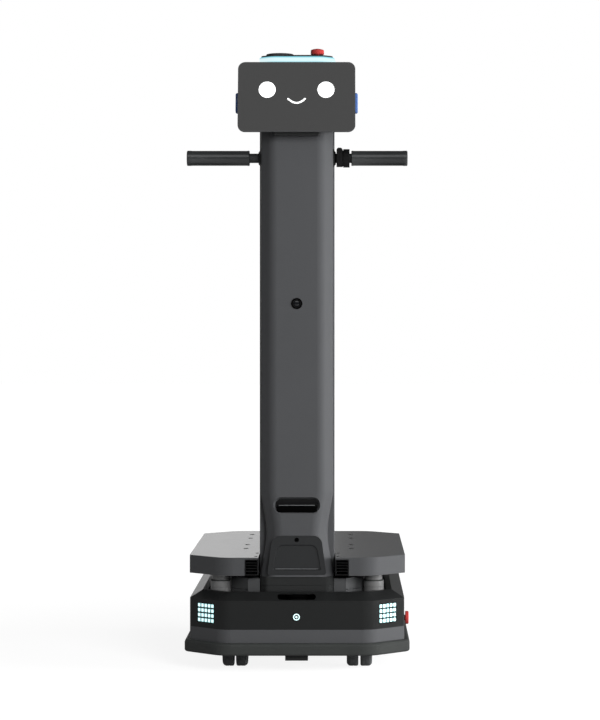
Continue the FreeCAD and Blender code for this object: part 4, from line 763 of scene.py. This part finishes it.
def casterBolts():
    # four bolts up into each caster's plate, square about the swivel's axis
    foot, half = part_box("caster_plates")[0].z + boltLook["sunk"], boltLook["half"]
    places = []
    for name in casterNames:
        axis = [joint["pos_m"] for joint in frame["joints"] if joint["name"] == name + "_swivel"][0]
        for x, y in mirrored(half, (-half, half)):
            places.append(((axis[0] + x, axis[1] + y, foot), downward))
    makePiece("caster_bolts", screwHeads(places, *boltLook["head"]), *steelHeads)


lampLook = {
    "pitch": 0.0108, "half": 0.0039, "columns": 5, "rows": 4, "sunk": 0.0002,
    "proud": 0.0006, "crown": 0.0003,
    "power": 7,  # the higher, the squarer
    "cutCorner": 0.075,  # leg of the base's cut-off corner
}


def cornerLamps(pitch, half, columns, rows, sunk, proud, crown, power, cutCorner):
    # one pillow for each light cell, four panels square to the cut-off corners of the base
    high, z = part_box("upper_shell")[1], middle("corner_light_cells").z
    cells = []
    for sx, sy in mirrored(1, (-1, 1)):
        way = np.array((sx, sy, 0)) / math.sqrt(2)
        side = np.array((-sy, sx, 0)) / math.sqrt(2)
        corner = np.array((sx * (high.x - cutCorner / 2), sy * (high.y - cutCorner / 2), z))
        for across in spread(columns, pitch):
            for over in spread(rows, pitch):
                place = corner + side * across + np.array((0, 0, over)) - way * sunk
                cells.append(pillow(place, (side, upward, way), half, half, proud, crown, power))
    lamps = makePiece("corner_lamps", cells, "lampCell", "base", "light_white", 60)
    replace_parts(lamps, "corner_light_cells")


statusLook = {
    "radius": 0.009, "edge": 0.0006, "proud": 0.0012,
    "rim": (0.56, 0.82),  # the lit ring, as shares of the radius
    "dot": 0.26,
}


def statusLamp(radius, edge, proud, rim, dot):
    # black lens with a lit ring and a dot in it
    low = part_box("status_light")[0]
    heart = np.array((0.0, low.y, middle("status_light").z))
    lens = [(radius, -0.004), (radius, 0.0)]
    lens += arcPoints(radius - edge, 0.0, edge, 0, 90, 4) + [(0.0, 0.0008)]
    turnedLens = turned(lens, heart, ahead, 60)
    glass = makePiece("status_lens", [turnedLens], "blackGloss", "base", "black_shell")
    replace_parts(glass, "status_light")
    inner, outer = [radius * share for share in rim]
    ring = [(inner, edge), (inner, proud), (outer, proud), (outer, edge)]
    disc = [(radius * dot, edge), (radius * dot, proud), (0.0, proud + 0.0001)]
    lit = [turned(ring, heart, ahead, 60), turned(disc, heart, ahead, 36)]
    makePiece("status_ring", lit, "lampPlain", "base", "light_white")


# the display's face: two plain round eyes and a shallow smile
faceLook = {
    "tilt": 13.0, "height": 0.160, "bezel": 0.005, "eyeRadius": 0.0185,
    "eyeAside": 0.5,  # share of the half width
    "eyeHeight": 0.60,  # share of the height
    "smileHalf": 0.020, "smileSag": 0.011, "smileHeight": 0.48,
    "smileEnd": 24,  # the higher, the blunter the smile's ends
    "stroke": 0.0019, "proud": 0.0002,
}


def onHead(x, depth, height):
    # a point drawn upright (depth behind the glass, height above the head's foot), leant back
    # by the tilt
    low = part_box("head_bezel")[0]
    lean = math.radians(faceLook["tilt"])
    y = depth * math.cos(lean) + height * math.sin(lean) + low.y
    z = height * math.cos(lean) + (faceLook["bezel"] - depth) * math.sin(lean) + low.z
    return np.stack(np.broadcast_arrays(x, y, z), axis=-1)


def displayFace():
    # eyes are flat discs; the smile is the parabola x, sag (x^2 - 1), with a half-round stroke
    look = faceLook
    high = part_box("head_bezel")[1]
    lean = math.radians(look["tilt"])
    axes = (right, (0, math.sin(lean), math.cos(lean)), (0, -math.cos(lean), math.sin(lean)))
    r, proud, eyes = look["eyeRadius"], look["proud"], []
    for side in (-1, 1):
        heart = onHead(side * look["eyeAside"] * high.x, 0.0, look["eyeHeight"] * look["height"])
        eyes.append(pillow(heart, axes, r, r, proud, 0.0, 2, 4, 72))
    t = np.linspace(-1, 1, 41)
    x, h = look["smileHalf"] * t, look["smileSag"] * (t**2 - 1)
    slope = 2 * look["smileSag"] * t / look["smileHalf"]
    nx, nh = -slope / np.sqrt(1 + slope**2), 1 / np.sqrt(1 + slope**2)
    taper = np.sqrt(np.clip(1 - np.abs(t) ** look["smileEnd"], 0, 1))
    turn = np.linspace(0, 2 * math.pi, 13)
    wide = look["stroke"] * taper[:, None] * np.cos(turn)[None, :]
    rise = proud * np.sin(turn)[None, :] * taper[:, None]
    height = look["smileHeight"] * look["height"] + h[:, None] + nh[:, None] * wide
    smile = onHead(x[:, None] + nx[:, None] * wide, -rise, height)
    makePiece("face_marks", eyes + [(smile, None)], "faceLight", "base", "light_white")


stopLook = {
    "stem": 0.42,  # shares of the radius
    "foot": 0.93, "head": 0.985, "dome": 0.78,
    "rim": 0.28,  # shares of the height
    "waist": 0.45, "shoulder": 0.62, "drop": 0.144,
    "soft": 0.0028,  # rounding of the shoulder
    "ridges": 30,
    "deep": 0.012,  # depth of a ridge, as a share of the radius
}


def stopButton(body, way, radius, height):
    # mushroom: ridged rim, soft shoulder and a dome, height - drop (d / dome)^2
    look = stopLook
    low, high = [np.array(corner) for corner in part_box(body + "_button")]
    way = np.array(way, float)
    tip = np.where(way > 0, high, np.where(way < 0, low, (low + high) / 2))
    stem, head, rim = radius * look["stem"], radius * look["head"], height * look["rim"]
    line = [(stem, -0.004), (stem, 0.0), (radius * look["foot"], 0.0)]
    line += [(radius, 0.0012), (head, height * look["waist"])]
    line += arcPoints(head - look["soft"], height * look["shoulder"], look["soft"], 5, 70, 7)
    domes = np.linspace(look["dome"], 0.0, 8)
    drops = height * look["drop"] * (domes / look["dome"]) ** 2
    line += list(zip(radius * domes, height - drops))

    def lobes(angle, h):
        share = np.clip(1 - np.abs(h - rim) / rim, 0, 1)
        return 1 - look["deep"] * share * (0.5 + 0.5 * np.cos(angle * look["ridges"]))

    mushroom = [turned(line, tip - way * height, way, 120, lobes)]
    piece = makePiece(body + "_mushroom", mushroom, "buttonRed", body, "red_button")
    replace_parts(piece, body + "_button")


gripLook = {
    "flangeGap": 0.020,  # from the left flange to the grip
    "clampGap": 0.004,  # from the switch clamp to the grip
    "bore": 0.0107, "edge": 0.001, "mouth": 0.0035, "waist": 0.0004,
    "bead": (0.0105, 0.0098, 0.0045),  # from the end: where the bead starts, is full, and stops
    "endRound": 0.0025,
}


def gripSleeves(flangeGap, clampGap, bore, edge, mouth, waist, bead, endRound):
    # smooth rubber tube: small flare at the mouth, a shallow bead before the rounded end
    low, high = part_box("handle_grips")
    heart, r = middle("handle_grips"), (high.z - low.z) / 2
    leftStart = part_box("handle_flanges")[1].x + flangeGap
    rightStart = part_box("switch_clamp")[1].x + clampGap
    grips = []
    for side, start, end in ((-1, leftStart, -low.x), (1, rightStart, high.x)):
        tall = end - start
        line = [(bore, 0.0), (r - edge, 0.0), (r, edge), (r, mouth), (r - waist, mouth + edge)]
        line += [(r - waist, tall - bead[0]), (r, tall - bead[1]), (r, tall - bead[2])]
        line += arcPoints(r - endRound, tall - endRound, endRound, 0, 90, 6) + [(0.0, tall)]
        grips.append(turned(line, (side * start, heart.y, heart.z), (side, 0, 0), 64))
    grip = makePiece("grip_sleeves", grips, "gripRubber", "base", "grip_rubber")
    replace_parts(grip, "handle_grips")


liftLook = {
    "aside": 0.170, "along": 0.318,
    "r": 0.0225,  # radius of the sleeve
    "edge": 0.0012, "ram": 0.019, "ramEdge": 0.001, "play": 0.0004, "flange": 0.030,
    "flangeTall": 0.005, "groove": 0.0006,
    "grooveDown": (0.0145, 0.0138, 0.0128, 0.0120),  # from the sleeve's top
}


def liftColumns(aside, along, r, edge, ram, ramEdge, play, flange, flangeTall, groove, grooveDown):
    # four sleeves with a groove below the mouth, and in each a ram with a flange under the deck
    low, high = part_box("lift_sleeves")
    ramLow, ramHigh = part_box("lift_rams")
    tall, rise = high.z - low.z, ramHigh.z - ramLow.z
    mouth, seat = ram + play, rise - flangeTall
    radii = (r, r - groove, r - groove, r)
    tube = [(r, 0.0)] + [(size, tall - down) for size, down in zip(radii, grooveDown)]
    tube += arcPoints(r - edge, tall - edge, edge, 0, 90, 5) + [(mouth, tall), (mouth, tall - 0.01)]
    rod = [(0.0, 0.0), (ram - ramEdge, 0.0), (ram, ramEdge), (ram, seat)]
    rod += [(flange, seat), (flange, rise - 0.0002)]
    places = mirrored(aside, (-along, along))
    tubes = [turned(tube, (x, y, low.z), upward, 80) for x, y in places]
    rods = [turned(rod, (x, y, ramLow.z), upward, 80) for x, y in places]
    sleeves = makePiece("lift_sleeve_tubes", tubes, "sleeveAlloy", "base", "ground_steel")
    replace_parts(sleeves, "lift_sleeves")
    rams = makePiece("lift_ram_rods", rods, "sleeveAlloy", "deck", "ground_steel")
    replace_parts(rams, "lift_rams")


def lensDome(radius, bulge):
    # shallow cap: height = bulge (1 - (r/R)^2), with a small barrel behind it
    share = np.linspace(1.0, 0.0, 7)
    return [(radius, -0.001)] + [(radius * s, bulge * (1 - s * s)) for s in share]


opticsLook = {  # each back is how far a piece lies behind the cover's foremost face
    "camera": {"radius": 0.0073, "bulge": 0.0015, "back": 0.0020},
    "cameraRing": {"radius": 0.0090, "wide": 0.0033, "back": -0.0010},
    "sensor": {"radius": 0.0046, "bulge": 0.0003, "back": 0.0022},
    "sensorRing": {"radius": 0.0042, "wide": 0.0008, "back": 0.0009},
    "sensorDrop": 0.009,  # below the foot panel's top
    "window": {"half": 0.0445, "tall": 0.0136, "back": 0.0030, "bulge": 0.0006, "power": 9},
    "windowDrop": 0.0188,  # below the slot camera's top
    # the lip is a pale bar, a painted highlight where the slot's upper edge catches light
    "lip": {"half": 0.0400, "deep": 0.0011, "tall": 0.0007, "back": 0.0028, "above": 0.0026},
}


def smallOptics():
    # domes and rings for the round camera and the foot's sensor, a window for the slot and a pale
    # lip above it, which is a painted highlight along the slot's lit upper edge
    look = opticsLook
    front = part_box("column_front_cover")[0].y
    cameraHeight = middle("round_camera").z
    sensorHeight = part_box("foot_panel")[1].z - look["sensorDrop"]

    def dome(facts, z, segments):
        place = (0, front + facts["back"], z)
        return turned(lensDome(facts["radius"], facts["bulge"]), place, ahead, segments)

    def ring(facts, z):
        r, wide, place = facts["radius"], facts["wide"], (0, front + facts["back"], z)
        line = [(r, -0.0002), (r, 0.0005), (r + wide * 0.9, 0.0003), (r + wide, -0.0002)]
        return turned(line + line[:1], place, ahead, 60)

    lens, sensor = dome(look["camera"], cameraHeight, 48), dome(look["sensor"], sensorHeight, 36)
    rings = [ring(look["cameraRing"], cameraHeight), ring(look["sensorRing"], sensorHeight)]
    makePiece("camera_lens", [lens], "lensGlass", "base", "black_trim")
    makePiece("foot_sensor", [sensor], "voidBlack", "base", "black_trim")
    makePiece("lens_rings", rings, "voidBlack", "base", "black_trim")

    glass, lip = look["window"], look["lip"]
    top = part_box("slot_camera")[1].z - look["windowDrop"]
    heart, half = (0, front + glass["back"], top - glass["tall"] / 2), glass["tall"] / 2
    size = (glass["half"], half, 0.0, glass["bulge"], glass["power"])
    window = pillow(heart, (right, upward, ahead), *size, 5, 64)
    makePiece("slot_window", [window], "voidBlack", "base", "black_trim")
    # pale bar over the window: a painted highlight along the lit edge above it
    ends = [(side * lip["half"], front + lip["back"], top + lip["above"]) for side in (-1, 1)]
    edge = bar(*ends, lip["tall"], lip["deep"], upward, behind)
    makePiece("slot_lip", [edge], "edgeCoat", "base", "black_trim")


neckLook = {"half": 0.049, "tall": 0.0098, "power": 8}


def neckBlock(half, tall, power):
    # round-ended block that carries the head, from the column's face forward
    low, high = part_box("head_neck")
    place, deep = (0, high.y, high.z - tall / 2), high.y - low.y
    block = pillow(place, (right, upward, ahead), half, tall / 2, deep, 0.0, power, 3, 64)
    neck = makePiece("neck_block", [block], "blackGrain", "base", "black_trim")
    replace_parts(neck, "head_neck")


# a pale bead as a painted highlight along the foot of the hatch's recess
hatchHighlightLook = {"inset": 0.004, "proud": 0.0002, "lift": 0.0016, "halfTall": 0.0005, "halfDeep": 0.0006}


def paintedHatchHighlight(inset, proud, lift, halfTall, halfDeep):
    # pale bead along the hatch's foot: a painted highlight where the lit lower edge of the recess
    # shows
    low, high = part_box("foot_hatch")
    y, z = low.y + proud, low.z + lift
    ends = (low.x + inset, y, z), (high.x - inset, y, z)
    highlightBar = bar(*ends, halfTall, halfDeep, upward, behind)
    makePiece("hatch_sill", [highlightBar], "edgeCoat", "base", "black_trim")


puckLook = {
    "aside": -0.038,
    "setback": 0.049,  # from the cap's front
    "sunk": 0.005, "r": 0.0315, "tall": 0.0063, "edge": 0.0035,
}


def crownPuck(aside, setback, sunk, r, tall, edge):
    # low round cover over the aerial on the crown, with a soft edge
    low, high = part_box("crown_cap")
    line = [(r - 0.001, 0.0), (r, 0.0005), (r, tall - edge)]
    line += arcPoints(r - edge, tall - edge, edge, 8, 82, 8)
    line += [(r - edge - 0.006, tall + 0.0004), (0.012, tall + 0.0007), (0.0, tall + 0.0008)]
    place = (aside, low.y + setback, high.z - sunk)
    makePiece("crown_puck", [turned(line, place, upward, 84)], "capCoat", "base", "black_trim")


padLook = {"aside": 0.012, "r": 0.0052, "edge": 0.0004, "proud": 0.0013, "sunk": 0.0012}


def chargePads(aside, r, edge, proud, sunk):
    # two low brass pads under the nose
    low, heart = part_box("charge_contacts")[0], middle("charge_contacts")
    pad = [(r, 0.0), (r, proud - edge), (r - edge, proud), (0.0, proud + 0.0001)]
    places = [(side * aside, heart.y, low.z + sunk) for side in (-1, 1)]
    pads = [turned(pad, place, downward, 40) for place in places]
    makePiece("charge_pads", pads, "brass", "base", "alloy")


powerLook = {"inner": 0.0102, "outer": 0.0114, "proud": 0.0007}


def powerRing(inner, outer, proud):
    # thin lit ring round the power button
    heart = middle("power_button")
    place = (heart.x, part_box("rear_panel")[1].y, heart.z)
    line = [(inner, 0.0), (inner, proud), (outer, proud), (outer, 0.0)]
    makePiece("power_ring", [turned(line, place, behind, 60)], "lampPlain", "base", "light_white")


tyreLook = {
    "wall": 0.009, "shoulder": 0.003,
    "grooveAt": 0.35,  # share of the half width
    "grooveHalf": 0.0014, "grooveDepth": 0.0016, "sipes": 40, "sipeSlant": 160,
    "sipeEdge": (0.72, 0.16), "sipeDepth": 0.0011, "sipeEnd": 0.0025, "crease": 25,
}


def driveTyres():
    # tread: radius - grooves round it - slanted sipes across it
    look = tyreLook
    for side in ("left", "right"):
        node = side + "_drive_tyre"
        low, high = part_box(node)
        heart, r, half = middle(node), (high.z - low.z) / 2, (high.x - low.x) / 2
        wall, shoulder = r - look["wall"], r - look["shoulder"]
        height = np.linspace(look["shoulder"] - half, half - look["shoulder"], 33)
        offset = np.abs(np.abs(height) - half * look["grooveAt"])
        grooves = np.clip(1 - offset / look["grooveHalf"], 0, 1) * look["grooveDepth"]
        line = [(wall, -half), (shoulder, -half)] + list(zip(r - grooves, height))
        line += [(shoulder, half), (wall, half)]

        def sipes(angle, h):
            start, soft = look["sipeEdge"]
            phase = angle * look["sipes"] + h * look["sipeSlant"]
            cut = np.clip((np.cos(phase) - start) / soft, 0, 1)
            cut = cut * (np.abs(h) < half - look["sipeEnd"])
            return 1 - cut * look["sipeDepth"] / r

        tread = [turned(line, heart, right, 480, sipes)]
        facts = ("treadRubber", side + "_drive_wheel", "tyre_rubber", look["crease"])
        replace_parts(makePiece(side + "_drive_tread", tread, *facts), node)


for name in casterNames:
    casterWheels(name)
print("casters dressed")
rackInserts()
for name, facts in screwRows.items():
    screwRow(name, *facts)
casterBolts()
screwRow("belly_screws", *bellyRow)
print("screws placed")
cornerLamps(**lampLook)
statusLamp(**statusLook)
displayFace()
print("lamps and display lit")
stopButton("head_stop", upward, 0.0150, 0.0130)
stopButton("side_stop", right, 0.0148, 0.0080)
gripSleeves(**gripLook)
liftColumns(**liftLook)
smallOptics()
neckBlock(**neckLook)
paintedHatchHighlight(**hatchHighlightLook)
crownPuck(**puckLook)
chargePads(**padLook)
powerRing(**powerLook)
driveTyres()
print("handles, lift, optics and wheels dressed")

studio = {
    "eye": (0.103, -5.880, 0.744),
    "lens": 125.0,
    "sensor": 36.0,
    "shift": (-0.0604, -0.0375),
    "clip": (0.05, 200.0),
    "floorSide": 60.0,
    "floorMatt": 0.30,
    "floorWhite": 0.88,  # glow that the camera sees near the object
    "floorFar": (0.9, 2.0),
    "floorSheen": 0.16,  # glow that gloss sees
    "air": 0.13,  # level of the even light from all round
    "room": 0.09,  # what gloss sees in front and at the sides
    "wallLeft": 1.0,  # what gloss sees low down behind, left and right of the middle
    "wallRight": 0.16,
    "wallBehind": (0.5, 0.3),
    "wallTop": (0.18, 0.12),
    "wallMiddle": (0.004, 0.022),
    "softBox": 1.3,  # what gloss sees high up in front
    "boxAhead": (0.35, 0.25),
    "boxFoot": (0.30, 0.12),
    "boxTop": (0.62, 0.12),
}
lamps = {
    # place, aim, size and power
    "keyLamp": ((3.3, -0.5, 0.76), (0, -0.2, 0.6), (2.6, 1.4), 152),
    "fillLamp": ((2.0, -4.8, 2.1), (0, 0, 0.7), (2.2, 2.2), 192),
}
white = (1.0, 1.0, 1.0, 1.0)


def setCamera():
    data = bpy.data.cameras.new("studioCamera")
    data.lens, data.sensor_width = studio["lens"], studio["sensor"]
    data.shift_x, data.shift_y = studio["shift"]
    data.clip_start, data.clip_end = studio["clip"]
    camera = bpy.data.objects.new("studioCamera", data)
    camera.location = studio["eye"]
    camera.rotation_euler = (math.radians(90), 0, 0)
    bpy.context.scene.collection.objects.link(camera)
    bpy.context.scene.camera = camera


def setAir():
    # the camera sees white; gloss sees a dim room with a low pale wall behind, paler on the left,
    # and a soft box high in front
    look = studio
    world = bpy.data.worlds.new("studioAir")
    world.use_nodes = True
    bpy.context.scene.world = world
    recipe = Recipe(world)
    camera, through, gloss = recipe.rays("Camera", "Transmission", "Glossy")
    seen = camera.most(through)
    aside, rearward, rise = recipe.parts(recipe.node("ShaderNodeTexCoord", out=0))
    wall = rearward.above(*look["wallBehind"]) * (1 - rise.above(*look["wallTop"]))
    left = (0.0 - aside).above(*look["wallMiddle"])
    front = (0.0 - rearward).above(*look["boxAhead"])
    softBox = front * rise.above(*look["boxFoot"]) * (1 - rise.above(*look["boxTop"]))
    pale = (look["wallRight"] - look["room"]) + left * (look["wallLeft"] - look["wallRight"])
    glossLevel = look["room"] + wall * pale + softBox * look["softBox"]
    level = seen + (1 - seen) * (gloss * glossLevel + (1 - gloss) * look["air"])
    air = recipe.node("ShaderNodeBackground", None, {0: white, 1: level})
    recipe.node("ShaderNodeOutputWorld", None, {0: air})


def setFloor():
    # a wide sheet under a soft shadow, whose glow rises with the distance sqrt(x^2 + y^2)
    look = studio
    half = look["floorSide"] / 2
    corners = [(-half, -half, 0), (half, -half, 0), (half, half, 0), (-half, half, 0)]
    mesh = bpy.data.meshes.new("studioFloor")
    mesh.from_pydata(corners, [], [(0, 1, 2, 3)])
    floor = bpy.data.objects.new("studioFloor", mesh)
    bpy.context.scene.collection.objects.link(floor)
    recipe, where = newMaterial("studioFloor")
    camera, gloss = recipe.rays("Camera", "Glossy")
    matt = recipe.node("ShaderNodeBsdfDiffuse", None, {0: (*[look["floorMatt"]] * 3, 1.0)})
    east, north, _ = recipe.parts(where)
    far = ((east * east + north * north) ** 0.5).above(*look["floorFar"])
    shown = look["floorWhite"] + far * (1 - look["floorWhite"])
    strength = camera * shown + gloss * look["floorSheen"]
    glow = recipe.node("ShaderNodeEmission", None, {0: white, 1: strength})
    both = recipe.node("ShaderNodeAddShader", None, {0: matt, 1: glow})
    recipe.node("ShaderNodeOutputMaterial", None, {0: both})
    mesh.materials.append(recipe.owner)


def addLamp(name, place, aim, size, power):
    # a rectangle that looks from its place at the aim, and isn't seen itself
    data = bpy.data.lights.new(name, "AREA")
    data.shape = "RECTANGLE"
    data.size, data.size_y = size
    data.energy = power
    lamp = bpy.data.objects.new(name, data)
    way = np.array(aim, float) - np.array(place, float)
    tilt, heading = math.atan2(math.hypot(way[0], way[1]), -way[2]), math.atan2(way[1], way[0])
    lamp.location = place
    lamp.rotation_euler = (tilt, 0, heading - math.pi / 2)
    lamp.visible_camera = False
    lamp.visible_glossy = False
    bpy.context.scene.collection.objects.link(lamp)


setCamera()
setAir()
setFloor()
for name, facts in lamps.items():
    addLamp(name, *facts)
bpy.context.scene.view_settings.view_transform = "Standard"
print("studio set")
